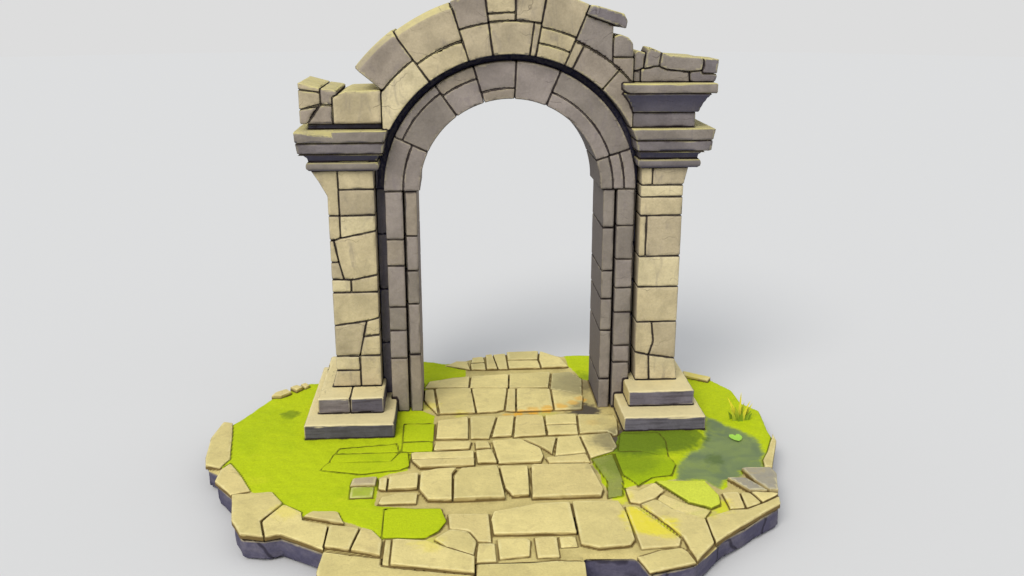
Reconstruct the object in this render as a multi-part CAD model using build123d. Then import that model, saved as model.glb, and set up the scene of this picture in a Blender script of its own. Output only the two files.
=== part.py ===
from build123d import *
import math
import os

# A ruined stone gateway on an island of rock, turf and flagstones.
# Millimetres. X runs along the wall, Y towards the back, Z up.
# The origin is on the underside of the rock, below the middle of the passage.

# Levels of the island
rock_height = 154
flag_thickness = 36
turf_thickness = 30
pool_bed_thickness = 18
rock_undercut = 24
smallest_turf_patch = 6000
slab_let_out = 4
turf_held_back = 10

# Passage and jambs
half_opening = 696
inner_order_width = 86
order_groove = 18
groove_depth = 60
outer_order_width = 130
spring_height = 1745
jamb_front = 310
jamb_back = 260
inner_order_setback = 14

# Dark fillet between the jambs and the piers, and round the arch
recess_front = 180
left_recess_width = 73
right_recess_width = 38
recess_ring_thickness = 50

# Arch rings
ring_overhang = 28
ring_oversail = 5
outer_ring_front = 390
hood_bevel = 46
row_clearance = 0.4

# Piers: the necking of each capital starts at this rise above the springing
left_shaft_width = 342
right_shaft_width = 320
necking_rise = 170
shaft_front = 350
shaft_back = 260

# Stepped bases: how far each step stands out from the shaft
lower_step_height = 105
upper_step_height = 123
lower_step_front = 440
upper_step_front = 230
lower_step_back = 160
upper_step_back = 80
left_lower_step_sides = (113, 205)
left_upper_step_sides = (28, 125)
right_lower_step_sides = (148, 154)
right_upper_step_sides = (78, 109)
left_upper_step_joint = 252

# Capitals: heights of the members, from the shaft up
necking_height = 68
cavetto_height = 60
lower_slab_height = 80
upper_slab_height = 86

# Masonry above the capitals
left_wall_set_in = 80
left_wall_length = 584
left_wall_bed_height = 42
left_wall_bed_set_back = 45
left_wall_height = 237
right_wall_set_in = 88
right_wall_length = 463
frieze_height = 114
upper_cavetto_height = 138
top_slab_height = 70
upper_cavetto_front = 92
upper_cavetto_back = 60
upper_cavetto_sides = (75, 90)
upper_cavetto_foot_out = 20
upper_hollow_depth = 0.35
top_slab_sides = (9, 39)
top_slab_front = 8
top_slab_break_width = 34
top_slab_break_height = 28
wall_front = 380
wall_back = 260

# Bevels on the stones
pier_arris = 7
ring_arris = 7
slab_arris = 6
step_arris = 8
fillet_arris = 6
turf_arris = 6
moulding_lip = 9
necking_nose = 18
narrow_face_share = 0.4
bedding_gap = 2

# Levels and faces that follow from the sizes above
ground = rock_height + flag_thickness
turf_top = rock_height + turf_thickness
spring_level = ground + spring_height
outer_order_inner = half_opening + inner_order_width + order_groove
jamb_outer = outer_order_inner + outer_order_width
intrados = half_opening - ring_overhang
inner_ring_outer = jamb_outer + ring_oversail
inner_ring_thickness = inner_ring_outer - intrados
recess_ring_inner = inner_ring_outer + row_clearance
recess_ring_outer = recess_ring_inner + recess_ring_thickness
outer_ring_inner = recess_ring_outer + row_clearance
lower_step_top = ground + lower_step_height
upper_step_top = lower_step_top + upper_step_height
shaft_top = spring_level + necking_rise
capital_top = shaft_top + necking_height + cavetto_height + lower_slab_height + upper_slab_height

# Plan of the island, anticlockwise from the back of the left pier
left_shore = [
    (-1530, 560), (-1570, 350), (-1660, 335), (-1810, 190), (-1940, 10), (-2050, -265),
    (-2140, -465), (-2210, -444), (-2240, -730), (-2200, -1060), (-2175, -1165), (-2060, -1260),
    (-2060, -1400), (-1900, -1612), (-1835, -1935), (-1750, -2105), (-1600, -2140), (-1510, -2110),
    (-1230, -2300)]
front_shore = [
    (-1240, -2530), (-1190, -2690), (-780, -2760), (-330, -2790), (240, -2760), (290, -2660),
    (300, -2445), (600, -2460)]
right_shore = [
    (655, -2640), (940, -2560), (1180, -2300), (1470, -2065), (1640, -1935), (1680, -1765),
    (1735, -1555), (1740, -1440), (1910, -1020), (1918, -806), (1965, -452), (1865, -306),
    (1866, -33), (1740, 220), (1530, 380)]
back_shore = [
    (1210, 640), (780, 870), (525, 885), (350, 975), (40, 965), (-210, 905), (-430, 770), (-520, 730),
    (-750, 830), (-1150, 760)]
shore = left_shore + front_shore + right_shore + back_shore


class Side:
    """Sizes of one pier, with distances measured outwards from the middle of the passage."""

    def __init__(self, name, sign, recess_width, shaft_width, lower_sides, upper_sides):
        self.name = name
        self.sign = sign
        self.shaft_inner = jamb_outer + recess_width
        self.shaft_outer = self.shaft_inner + shaft_width
        self.lower_sides = lower_sides
        self.upper_sides = upper_sides

    def across(self, inner, outer):
        """Left and right X of a stretch that runs between two distances from the middle."""
        return sorted((self.sign * inner, self.sign * outer))


left = Side("left", -1, left_recess_width, left_shaft_width, left_lower_step_sides, left_upper_step_sides)
right = Side(
    "right", 1, right_recess_width, right_shaft_width, right_lower_step_sides, right_upper_step_sides)

left_wall_inner = left.shaft_inner - left_wall_set_in
left_wall_outer = left_wall_inner + left_wall_length
right_wall_inner = right.shaft_inner - right_wall_set_in
right_wall_outer = right_wall_inner + right_wall_length
left_wall_foot = capital_top + left_wall_bed_height
left_wall_top = left_wall_foot + left_wall_height
upper_cavetto_foot = capital_top + frieze_height
top_slab_foot = upper_cavetto_foot + upper_cavetto_height
top_slab_top = top_slab_foot + top_slab_height


def upright(points, front, back):
    """Prism with the face outline points, given as (x, z), that runs from front to back."""
    face = Plane.XZ.offset(-back) * Polygon(*points, align=None)
    return extrude(face, amount=back - front, dir=(0, -1, 0))


def wall_stone(points, front, back, arris):
    """Stone with the face outline points whose arrises are bevelled, but for those of its back."""
    blank = upright(points, front, back)
    return chamfer(blank.edges() - blank.edges().group_by(Axis.Y)[-1], arris)


def panel(layout, x_range, z_range):
    """Face outlines of a panel's stones, from outlines in shares of the panel's width and height."""
    width = x_range[1] - x_range[0]
    height = z_range[1] - z_range[0]
    return [[(x_range[0] + u * width, z_range[0] + v * height) for u, v in outline] for outline in layout]


def block(x_range, y_range, z_range, arris=0):
    """Squared block between the given faces."""
    size = [span[1] - span[0] for span in (x_range, y_range, z_range)]
    middle = [(span[1] + span[0]) / 2 for span in (x_range, y_range, z_range)]
    solid = Pos(*middle) * Box(*size)
    return chamfer(solid.edges(), arris) if arris else solid


def on_ring(radius, angle):
    """Point of the arch's face at a radius and an angle, in degrees from the right springing."""
    turn = math.radians(angle)
    return (radius * math.cos(turn), spring_level + radius * math.sin(turn))


def voussoir(start, end, inner, outer, front, back, arris=0, hood=0):
    """Wedge stone between two angles and two radii, with an optional bevel along its outer front."""
    middle = (start + end) / 2
    outline = [
        Line(on_ring(inner, start), on_ring(outer, start)),
        ThreePointArc(on_ring(outer, start), on_ring(outer, middle), on_ring(outer, end)),
        Line(on_ring(outer, end), on_ring(inner, end)),
        ThreePointArc(on_ring(inner, end), on_ring(inner, middle), on_ring(inner, start))]
    blank = extrude(Plane.XZ.offset(-back) * make_face(outline), amount=back - front, dir=(0, -1, 0))
    if hood:
        front_arcs = blank.edges().filter_by(GeomType.CIRCLE).group_by(Axis.Y)[0]
        blank = chamfer(front_arcs.sort_by(SortBy.RADIUS)[-1], hood)
    if arris:
        blank = chamfer(blank.edges() - blank.edges().group_by(Axis.Y)[-1], arris)
    return blank


def ring_cylinder(radius, front, back):
    """Round bar on the arch's axis, used to scribe stones to the arch."""
    disc = Plane.XZ.offset(-back) * Pos(0, spring_level) * Circle(radius)
    return extrude(disc, amount=back - front, dir=(0, -1, 0))


def moulded_block(foot, head, z_range, moulding, depth=0):
    """Block from a foot rectangle to a head rectangle whose four sides have one moulding.

    The moulding is "plain", "hollow" or "round". The depth of a hollow is a share of a quarter
    circle's, and the depth of a round is how far its nose stands out.
    """
    low, high = z_range
    hollow = moulding == "hollow"
    lip = high - moulding_lip if hollow else high
    quarter_bow = math.sin(math.radians(45)) - 0.5

    def flank(base, tip, outward):
        """Edge that climbs one side of the profile, from the foot to the lip."""
        if moulding == "plain":
            return Line((base, low), (tip, lip))
        if moulding == "round":
            nose = ((base + tip) / 2 + outward * depth, (low + lip) / 2)
            return ThreePointArc((base, low), nose, (tip, lip))
        out_share = 0.5 - quarter_bow * depth
        up_share = 0.5 + quarter_bow * depth
        middle = (base + out_share * (tip - base), low + up_share * (lip - low))
        return ThreePointArc((base, low), middle, (tip, lip))

    def profile(base, tip):
        """Upright section, from its foot stretch to its head stretch."""
        edges = [Line((base[0], low), (base[1], low)), flank(base[1], tip[1], 1)]
        if hollow:
            edges.append(Line((tip[1], lip), (tip[1], high)))
        edges.append(Line((tip[1], high), (tip[0], high)))
        if hollow:
            edges.append(Line((tip[0], high), (tip[0], lip)))
        edges.append(flank(base[0], tip[0], -1))
        return make_face(edges)

    margin = depth if moulding == "round" else 0
    width = head[0][1] - head[0][0] + 2 * margin
    length = head[1][1] - head[1][0] + 2 * margin
    along_x = Plane.XZ.offset(-head[1][1] - margin) * profile(foot[0], head[0])
    along_y = Plane.YZ.offset(head[0][0] - margin) * profile(foot[1], head[1])
    return extrude(along_x, amount=length, dir=(0, -1, 0)) & extrude(along_y, amount=width, dir=(1, 0, 0))


def footprint(x_range, y_range):
    """Plan rectangle that a footing keeps clear, with the bedding gap round it."""
    width = x_range[1] - x_range[0] + 2 * bedding_gap
    depth = y_range[1] - y_range[0] + 2 * bedding_gap
    return Pos((x_range[0] + x_range[1]) / 2, (y_range[0] + y_range[1]) / 2) * Rectangle(width, depth)


def plan_spans(side, projection):
    """X and Y spans of a member that stands out from the shaft: inner, outer, front and back."""
    inner, outer, front, back = projection
    x_range = side.across(side.shaft_inner - inner, side.shaft_outer + outer)
    return x_range, (-shaft_front - front, shaft_back + back)


def step_spans(side, sides, front, back):
    """X and Y spans of a base step that stands out from the shaft by the given sizes."""
    return plan_spans(side, (sides[0], sides[1], front, back))


def kept_clear():
    """Plan zones taken up by the bases and the jambs."""
    zones = []
    for side in (left, right):
        zones.append(footprint(*step_spans(side, side.lower_sides, lower_step_front, lower_step_back)))
        zones.append(footprint(side.across(half_opening, side.shaft_inner), (-jamb_front, jamb_back)))
    return zones


footing_zones = kept_clear()


def let_out(plan, amount=slab_let_out):
    """Plan face with its outline let out; on the slabs this closes up the crevices between them."""
    return offset(plan, amount=amount, kind=Kind.INTERSECTION)


def ground_slab(plan, thickness, arris=0):
    """Slabs bedded on the rock, from a plan face that is cut back from the footings."""
    solids = []
    for face in (plan - footing_zones).faces():
        slab = extrude(Plane.XY.offset(rock_height) * face, amount=thickness, dir=(0, 0, 1))
        top = slab.faces().sort_by(Axis.Z)[-1]
        solids.append(chamfer(top.edges(), arris) if arris else slab)
    return solids


# Ground slabs: each has a plan outline and a rise above the common level
rim_left = [
    ([(-2140, -465), (-2210, -444), (-2240, -730), (-2200, -1060), (-2175, -1165), (-2070, -1210),
      (-2030, -1080), (-2100, -670)], 4),
    ([(-2055, -1235), (-2060, -1400), (-1910, -1598), (-1800, -1550), (-1910, -1320), (-2010, -1150)], 0),
    ([(-1900, -1612), (-1835, -1935), (-1750, -2105), (-1610, -2138), (-1660, -1960), (-1560, -1740),
      (-1650, -1590)], 6),
    ([(-1595, -2138), (-1510, -2110), (-1232, -2298), (-1235, -2040), (-1400, -1960), (-1420, -1860),
      (-1545, -1755), (-1642, -1960)], 2),
    ([(-1390, -1925), (-1140, -2020), (-1190, -1885), (-1350, -1870)], 12)]
rim_front = [
    ([(-1220, -2040), (-1220, -2280), (-1075, -2320), (-1040, -2080)], 8),
    ([(-1020, -2085), (-1060, -2325), (-890, -2390), (-890, -2230), (-960, -2110)], 8),
    ([(-866, -2206), (-870, -2470), (-835, -2480), (-835, -2210)], -8),
    ([(-820, -2220), (-820, -2490), (-345, -2600), (-340, -2440), (-480, -2350), (-630, -2250)], 6),
    ([(-1226, -2314), (-1238, -2528), (-1188, -2688), (-780, -2758), (-348, -2788), (-345, -2615),
      (-822, -2506), (-878, -2486), (-880, -2410)], -14),
    ([(-490, -1930), (-480, -2100), (-360, -2140), (-310, -2260), (-235, -2270), (-240, -1940)], -4),
    ([(-570, -2230), (-490, -2330), (-345, -2420), (-325, -2275), (-375, -2155), (-480, -2125)], 2),
    ([(-310, -2290), (-328, -2480), (-215, -2480), (-215, -2290)], -6),
    ([(-332, -2500), (-332, -2788), (238, -2758), (288, -2658), (298, -2510), (150, -2490),
      (-20, -2500)], -14)]
rim_right = [
    ([(645, -2470), (612, -2480), (655, -2636), (938, -2557), (915, -2440), (890, -2400), (760, -2420)], -12),
    ([(640, -1900), (652, -2400), (760, -2392), (880, -2380), (905, -2310), (810, -2115), (700, -1905)], -4),
    ([(745, -1895), (845, -2100), (925, -2290), (935, -2440), (950, -2545), (1090, -2375), (1105, -2095),
      (930, -1965), (850, -1835)], 4),
    ([(680, -1670), (760, -1710), (890, -1610), (930, -1710), (850, -1810), (740, -1870), (680, -1850)], 0),
    ([(1105, -2370), (1180, -2298), (1468, -2063), (1638, -1933), (1660, -1840), (1520, -1935),
      (1405, -1995), (1300, -2000), (1118, -2085)], 2),
    ([(1305, -1775), (1305, -1985), (1392, -1980), (1410, -1775)], 4),
    ([(1425, -1780), (1410, -1982), (1515, -1915), (1480, -1785)], 4),
    ([(1500, -1785), (1530, -1915), (1658, -1828), (1660, -1815), (1600, -1800)], 10),
    ([(1745, -1432), (1908, -1020), (1916, -920), (1790, -1200), (1720, -1320), (1700, -1420)], 4)]
leaning_slabs = [
    ([(1525, -1465), (1720, -1470), (1732, -1557), (1672, -1782), (1620, -1780), (1560, -1640)], 22),
    ([(1395, -1590), (1510, -1600), (1600, -1775), (1490, -1765)], 16)]
pool_outline = [
    (1510, -530), (1600, -660), (1700, -830), (1785, -965), (1775, -1195), (1705, -1310), (1685, -1440),
    (1515, -1450), (1500, -1540), (1385, -1565), (1295, -1740), (1230, -1590), (1055, -1570),
    (1095, -1370), (1220, -1170), (1330, -1100), (1420, -850)]
turf_slabs_right = [
    ([(905, -1590), (1225, -1605), (1270, -1810), (1250, -1920), (1185, -1960), (1060, -1880)], 12),
    ([(905, -1760), (1050, -1900), (1170, -1985), (1110, -2078), (935, -1950), (865, -1825)], 2),
    ([(790, -830), (730, -1110), (880, -1120), (1060, -1225), (1095, -960), (1070, -830)], 6),
    ([(695, -1165), (700, -1480), (775, -1630), (890, -1530), (1025, -1505), (1085, -1350), (1065, -1245),
      (880, -1140)], 12),
    ([(520, -1225), (580, -1560), (550, -1780), (640, -1770), (680, -1560), (672, -1160)], 4)]
turf_ledges_left = [
    ([(-1270, -955), (-870, -905), (-850, -1035), (-1290, -1035)], 2),
    ([(-1300, -1052), (-850, -1052), (-895, -1178), (-1320, -1172)], 7),
    ([(-1330, -1190), (-890, -1195), (-835, -1065), (-782, -1065), (-765, -1270), (-820, -1315),
      (-1090, -1365), (-1365, -1290)], 12),
    ([(-826, -560), (-600, -560), (-605, -865), (-820, -865)], 4),
    ([(-820, -885), (-607, -885), (-607, -1035), (-820, -1035)], 6),
    ([(-895, -1850), (-540, -1860), (-505, -2020), (-550, -2130), (-630, -2210), (-885, -2190)], 6)]
ledge_stones = [
    ([(-1130, -1450), (-975, -1430), (-980, -1540), (-1140, -1540)], 14),
    ([(-1135, -1555), (-985, -1560), (-985, -1700), (-1130, -1700)], 4)]
edge_stones_back = [
    ([(-1925, 15), (-1900, 90), (-1830, 150), (-1780, 90), (-1850, 10)], 22),
    ([(-1800, 185), (-1750, 228), (-1700, 180), (-1740, 120)], 26),
    ([(-1725, 255), (-1690, 285), (-1650, 230), (-1680, 190)], 18),
    ([(1535, 355), (1735, 205), (1690, 130), (1520, 260)], 20)]
paving_rows = {
    "paving_back_row": [
        ([(-505, 650), (-310, 560), (-330, 745), (-425, 755)], 4),
        ([(-295, 690), (-290, 560), (-170, 555), (-175, 700)], 2),
        ([(-290, 705), (-175, 715), (-185, 850), (-275, 830)], 6),
        ([(-155, 555), (-155, 890), (-100, 905), (-70, 555)], 8),
        ([(-55, 555), (-85, 910), (20, 930), (22, 555)], 2),
        ([(40, 560), (35, 730), (300, 730), (310, 560)], 6),
        ([(40, 750), (40, 945), (325, 955), (300, 750)], 12),
        ([(330, 560), (320, 740), (345, 955), (505, 790), (555, 570)], 8)],
    "paving_rear_row": [
        ([(-684, 150), (-650, 285), (-315, 380), (-330, 145)], 4),
        ([(-292, 390), (-312, 140), (0, 122), (20, 420)], 2),
        ([(38, 425), (15, 110), (335, 108), (385, 440)], 4),
        ([(405, 430), (358, 85), (600, -40), (640, 280), (560, 460)], -4)],
    "paving_passage_row": [
        ([(-684, 105), (-684, -110), (-580, -370), (-620, 120)], 0),
        ([(-600, 122), (-555, -378), (-285, -370), (-312, 120)], 5),
        ([(-296, 120), (-265, -370), (-120, -362), (-60, -330), (-15, 60), (-15, 100)], 3),
        ([(5, 90), (-40, -350), (30, -362), (60, 92)], 2),
        ([(78, 92), (48, -362), (330, -355), (345, 70)], 4),
        ([(365, 60), (350, -350), (560, -345), (600, -100), (590, -60)], 0)],
    "paving_threshold_row": [
        ([(-570, -520), (-580, -830), (-350, -838), (-342, -460)], 4),
        ([(-322, -455), (-325, -838), (-195, -845), (-125, -460)], 2),
        ([(-105, -460), (-165, -818), (-25, -810), (15, -455)], 4),
        ([(35, -455), (-5, -828), (230, -810), (240, -460)], 3),
        ([(262, -460), (252, -632), (482, -632), (498, -460)], 5),
        ([(254, -652), (252, -810), (470, -810), (480, -652)], 3),
        ([(518, -460), (490, -790), (700, -780), (736, -850), (766, -846), (800, -590), (790, -480)], 2)],
    "paving_front_steps": [
        ([(-580, -902), (-598, -1028), (-345, -1012), (-325, -900)], 6),
        ([(-295, -902), (-292, -1008), (-190, -1002), (-205, -902)], 4),
        ([(-755, -1070), (-745, -1172), (-315, -1165), (-312, -1062)], 8),
        ([(-740, -1192), (-685, -1295), (-315, -1280), (-312, -1186)], 12),
        ([(-292, -1052), (-285, -1240), (-155, -1240), (-182, -1042)], 6)],
    "paving_pentagon_row": [
        ([(-170, -900), (-138, -1255), (155, -1250), (178, -1170), (168, -1045), (30, -880)], 6),
        ([(70, -880), (195, -1030), (245, -1120), (300, -862)], 4),
        ([(318, -862), (268, -1160), (488, -1130), (470, -850)], 5),
        ([(200, -1190), (215, -1270), (498, -1270), (485, -1150), (250, -1180)], 2),
        ([(490, -845), (515, -1205), (680, -1120), (725, -1040), (710, -822)], 3)],
    "paving_long_row": [
        ([(-678, -1380), (-678, -1620), (-620, -1755), (-472, -1765), (-470, -1410), (-440, -1330),
          (-560, -1335)], 14),
        ([(-400, -1345), (-448, -1460), (-455, -1765), (-125, -1758), (-155, -1320)], 18),
        ([(-135, -1318), (-112, -1630), (-70, -1735), (35, -1730), (55, -1325)], 12),
        ([(85, -1318), (58, -1768), (500, -1768), (528, -1690), (485, -1325)], 16),
        ([(-955, -1450), (-950, -1590), (-905, -1600), (-905, -1430)], 8),
        ([(-888, -1425), (-888, -1600), (-700, -1590), (-698, -1385)], 12),
        ([(-925, -1705), (-940, -1785), (-700, -1785), (-695, -1660), (-810, -1650)], 4)],
    "paving_front_row": [
        ([(-205, -1940), (-222, -2030), (-212, -2200), (285, -2210), (285, -1845), (90, -1845)], 8),
        ([(308, -1835), (300, -2340), (400, -2390), (590, -2370), (625, -2310), (625, -1990),
          (600, -1845)], 8),
        ([(-195, -2250), (-190, -2460), (-20, -2440), (-2, -2280), (-20, -2250)], -2),
        ([(30, -2245), (30, -2460), (155, -2460), (160, -2245)], -2),
        ([(180, -2240), (180, -2350), (275, -2350), (275, -2240)], -8)]}


def rock():
    """The rock that carries everything, undercut along its lower edge."""
    blank = extrude(Polygon(*shore, align=None), amount=rock_height, dir=(0, 0, 1))
    return [chamfer(blank.faces().sort_by(Axis.Z)[0].edges(), rock_undercut)]


def slabs(entries, base=flag_thickness, arris=slab_arris):
    """Ground slabs of a list of outlines with rises."""
    solids = []
    for points, rise in entries:
        solids.extend(ground_slab(let_out(Polygon(*points, align=None)), base + rise, arris))
    return solids


def hull(points):
    """Convex outline round the given points, anticlockwise."""
    ordered = sorted(set(points))
    outline = []
    for run in (ordered, ordered[::-1]):
        chain = []
        for x, y in run:
            while len(chain) > 1:
                (x0, y0), (x1, y1) = chain[-2:]
                if (x1 - x0) * (y - y0) - (y1 - y0) * (x - x0) > 0:
                    break
                chain.pop()
            chain.append((x, y))
        outline += chain[:-1]
    return outline


def covered(runs):
    """Plan faces that neighbouring groups of slabs cover between them, crevices included."""
    faces = []
    for first, second in zip(runs, runs[1:]):
        corners = [corner for outline, rise in first + second for corner in outline]
        faces.append(Polygon(*hull(corners), align=None))
    return faces


def turf(side):
    """Turf of one half of the island, cut round the slabs, the footings and the low wet ground."""
    far = 4000
    half = [(0, -far), (side.sign * far, -far), (side.sign * far, far), (0, far)]
    taken = covered(list(paving_rows.values()))
    for rim in (rim_left, rim_front, rim_right):
        taken += covered([[entry] for entry in rim])
    bedded = leaning_slabs + turf_slabs_right + turf_ledges_left + ledge_stones + edge_stones_back
    taken += [Polygon(*points, align=None) for points, rise in bedded]
    taken = [let_out(plan, turf_held_back) for plan in taken]
    taken.append(Polygon(*pool_outline, align=None))
    field = Polygon(*shore, align=None) & Polygon(*half, align=None)
    for plan in taken:
        field = field - plan
    patches = ground_slab(field, turf_thickness)
    return [patch for patch in patches if patch.volume > smallest_turf_patch * turf_thickness]


def jamb_room(side):
    """Room that the jamb and its fillet take out of the base steps."""
    heights = (0, spring_level)
    return [block(side.across(0, jamb_outer), (-jamb_front, jamb_back), heights),
            block(side.across(0, side.shaft_inner), (-recess_front, jamb_back), heights)]


def base_steps(side):
    """The two steps of a pier's base; the left upper step is in two stones."""
    spans = step_spans(side, side.lower_sides, lower_step_front, lower_step_back)
    lower = block(*spans, (rock_height, lower_step_top), step_arris) - jamb_room(side)
    x_range, y_range = step_spans(side, side.upper_sides, upper_step_front, upper_step_back)
    cuts = list(x_range)
    if side is left:
        cuts.insert(1, x_range[1] - left_upper_step_joint)
    upper = []
    for ends in zip(cuts, cuts[1:]):
        stone = block(ends, y_range, (lower_step_top, upper_step_top), step_arris)
        upper.append(stone - jamb_room(side))
    return [lower], upper


# Shaft stones: outlines in shares of the shaft's width and height, seen from the front
left_shaft_courses = {
    "lower": [
        [(-0.10, 0), (0.54, 0), (0.54, 0.08), (0, 0.08)],
        [(0, 0.08), (0.54, 0.08), (0.54, 0.15), (0, 0.15)],
        [(0.54, 0), (1, 0), (1, 0.15), (0.54, 0.15)],
        [(0, 0.15), (0.54, 0.15), (0.64, 0.242), (0.72, 0.315), (0, 0.296)],
        [(0.54, 0.15), (1, 0.15), (1, 0.249), (0.64, 0.242)],
        [(0.64, 0.242), (1, 0.249), (1, 0.33), (0.72, 0.315)]],
    "middle": [
        [(0, 0.296), (0.72, 0.315), (1, 0.33), (1, 0.451), (0, 0.451)],
        [(0, 0.451), (0.42, 0.451), (0.42, 0.508), (0.27, 0.51), (0, 0.512)],
        [(0.42, 0.451), (1, 0.451), (1, 0.53), (0.42, 0.508)],
        [(0, 0.512), (0.27, 0.51), (0.18, 0.59), (0, 0.59)],
        [(0, 0.59), (0.18, 0.59), (0.09, 0.69), (0, 0.69)],
        [(0.27, 0.51), (0.42, 0.508), (1, 0.53), (1, 0.73), (0.24, 0.70), (0.09, 0.69), (0.18, 0.59)]],
    "upper": [
        [(0, 0.69), (0.09, 0.69), (0.24, 0.70), (0.24, 0.80), (0, 0.80)],
        [(0.24, 0.70), (1, 0.73), (1, 0.80), (0.24, 0.80)],
        [(0, 0.80), (0.24, 0.80), (0.24, 1), (-0.33, 1), (-0.17, 0.95), (0, 0.885)],
        [(0.24, 0.80), (1, 0.80), (1, 0.915), (0.24, 0.915)],
        [(0.24, 0.915), (1, 0.915), (1, 1), (0.24, 1)]]}
right_shaft_courses = {
    "lower": [
        [(0.03, 0), (0.37, 0), (0.34, 0.125), (0, 0.14)],
        [(0.37, 0), (1.06, 0), (1, 0.105), (0.34, 0.125)],
        [(0, 0.14), (0.34, 0.125), (0.44, 0.19), (0.38, 0.286), (0, 0.286)],
        [(0.34, 0.125), (1, 0.105), (1, 0.286), (0.38, 0.286), (0.44, 0.19)]],
    "middle": [
        [(0, 0.286), (1, 0.286), (1, 0.453), (0, 0.453)],
        [(0, 0.453), (1, 0.453), (1, 0.596), (0, 0.596)],
        [(0, 0.596), (0.16, 0.596), (0.16, 0.783), (0, 0.783)],
        [(0.16, 0.596), (1, 0.596), (1, 0.783), (0.16, 0.783)]],
    "upper": [
        [(0, 0.783), (1, 0.783), (1, 0.867), (0, 0.867)],
        [(0, 0.867), (1, 0.867), (1, 0.92), (0, 0.92)],
        [(0, 0.92), (0.26, 0.92), (0.26, 1), (0, 1)],
        [(0.26, 0.92), (1, 0.92), (1.10, 1), (0.26, 1)]]}


def shaft(side, layout):
    """Stones of one pier's shaft, as three stretches."""
    x_range = side.across(side.shaft_inner, side.shaft_outer)
    z_range = (upper_step_top, shaft_top)
    stretches = {}
    for stretch, outlines in layout.items():
        blanks = [upright(points, -shaft_front, shaft_back) for points in panel(outlines, x_range, z_range)]
        stretches[stretch] = [chamfer(blank.edges(), pier_arris) for blank in blanks]
    return stretches


# Members of the capitals: how far the foot and the head stand out from the shaft at the inner end,
# the outer end, the front and the back
left_members = {
    "necking": ((28, 119, 30, 20), (28, 119, 30, 20)),
    "cavetto": ((34, 119, 30, 20), (78, 181, 82, 50)),
    "lower_slab": ((80, 184, 88, 56), (93, 197, 94, 60)),
    "upper_slab": ((93, 197, 98, 62), (117, 202, 112, 75))}
right_members = {
    "necking": ((20, 92, 30, 20), (20, 92, 30, 20)),
    "cavetto": ((24, 88, 30, 20), (46, 126, 82, 50)),
    "lower_slab": ((54, 172, 88, 56), (64, 179, 94, 60)),
    "upper_slab": ((64, 179, 98, 62), (103, 193, 112, 75))}

# Slanting facet broken off the left upper slab's front edge: its length from the outer end, then how
# far it drops and runs back at the outer end and at the inner end
chip_length = 269
chip_drop = (14, 56)
chip_run = (24, 95)


def capital(side, members):
    """The four members of a capital, cut round the arch and the masonry that backs it."""
    heights = {"necking": necking_height, "cavetto": cavetto_height,
               "lower_slab": lower_slab_height, "upper_slab": upper_slab_height}
    inner_end = side.across(0, side.shaft_inner + row_clearance)
    behind = (-recess_front - row_clearance, 2 * shaft_back)
    room = [block(inner_end, behind, (0, 2 * capital_top)),
            ring_cylinder(inner_ring_outer + row_clearance, -2 * shaft_front, 2 * shaft_back)]
    level = shaft_top
    parts = {}
    for name, (foot, head) in members.items():
        z_range = (level, level + heights[name])
        spans = plan_spans(side, foot), plan_spans(side, head)
        if name == "necking":
            solid = moulded_block(*spans, z_range, "round", necking_nose)
        elif name == "cavetto":
            solid = moulded_block(*spans, z_range, "hollow", 1)
        else:
            plain = moulded_block(*spans, z_range, "plain")
            solid = chamfer(plain.edges(), slab_arris)
        parts[name] = [solid - room]
        level += heights[name]
    return parts


def chipped(slab):
    """The left capital's upper slab with the facet broken off its front edge."""
    outer_end = -left.shaft_outer - left_members["upper_slab"][1][1]
    front = -shaft_front - left_members["upper_slab"][1][2]
    margin = 20
    sections = []
    for x, drop, run in zip((outer_end - margin, outer_end + chip_length), chip_drop, chip_run):
        outside = front - margin
        corners = [(outside, capital_top - drop), (front + run, capital_top), (outside, 2 * capital_top)]
        sections.append(Plane.YZ.offset(x) * Polygon(*corners, align=None))
    return slab - loft(sections, ruled=True)


def joint_levels(shares):
    """Levels of the beds of a jamb, from shares of its height above the paving."""
    return [rock_height] + [ground + share * spring_height for share in shares] + [spring_level]


def recess(side, shares):
    """Dark fillet beside a jamb, and the block above it that backs the arch up to the capital's top."""
    x_range = side.across(jamb_outer, side.shaft_inner)
    levels = joint_levels(shares)
    stones = []
    for low, high in zip(levels, levels[1:]):
        stone = block(x_range, (-recess_front, jamb_back), (low, high))
        stones.append(chamfer(stone.edges().group_by(Axis.Y)[0], fillet_arris))
    reach = side.across(half_opening, side.shaft_inner)
    backing = block(reach, (-recess_front, jamb_back), (spring_level, capital_top))
    stones.append(backing - ring_cylinder(recess_ring_outer + row_clearance, -shaft_front, 2 * jamb_back))
    return stones


def jamb(side, inner_shares, outer_shares):
    """Inner and outer orders of one jamb; the inner order has a groove where the two meet."""
    front = -jamb_front + inner_order_setback
    groove_inner = half_opening + inner_order_width
    groove_back = front + groove_depth
    corners = [
        (half_opening, front), (groove_inner, front), (groove_inner, groove_back),
        (outer_order_inner, groove_back), (outer_order_inner, jamb_back), (half_opening, jamb_back)]
    plan = Polygon(*[(side.sign * x, y) for x, y in corners], align=None)
    inner = []
    levels = joint_levels(inner_shares)
    for low, high in zip(levels, levels[1:]):
        stone = extrude(Plane.XY.offset(low) * plan, amount=high - low, dir=(0, 0, 1))
        arris = min(slab_arris, order_groove * narrow_face_share)
        inner.append(chamfer(stone.edges() - stone.edges().group_by(Axis.Y)[-1], arris))
    outer = []
    x_range = side.across(outer_order_inner, jamb_outer)
    levels = joint_levels(outer_shares)
    for low, high in zip(levels, levels[1:]):
        outer.append(block(x_range, (-jamb_front, jamb_back), (low, high), slab_arris))
    return inner, outer


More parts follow.
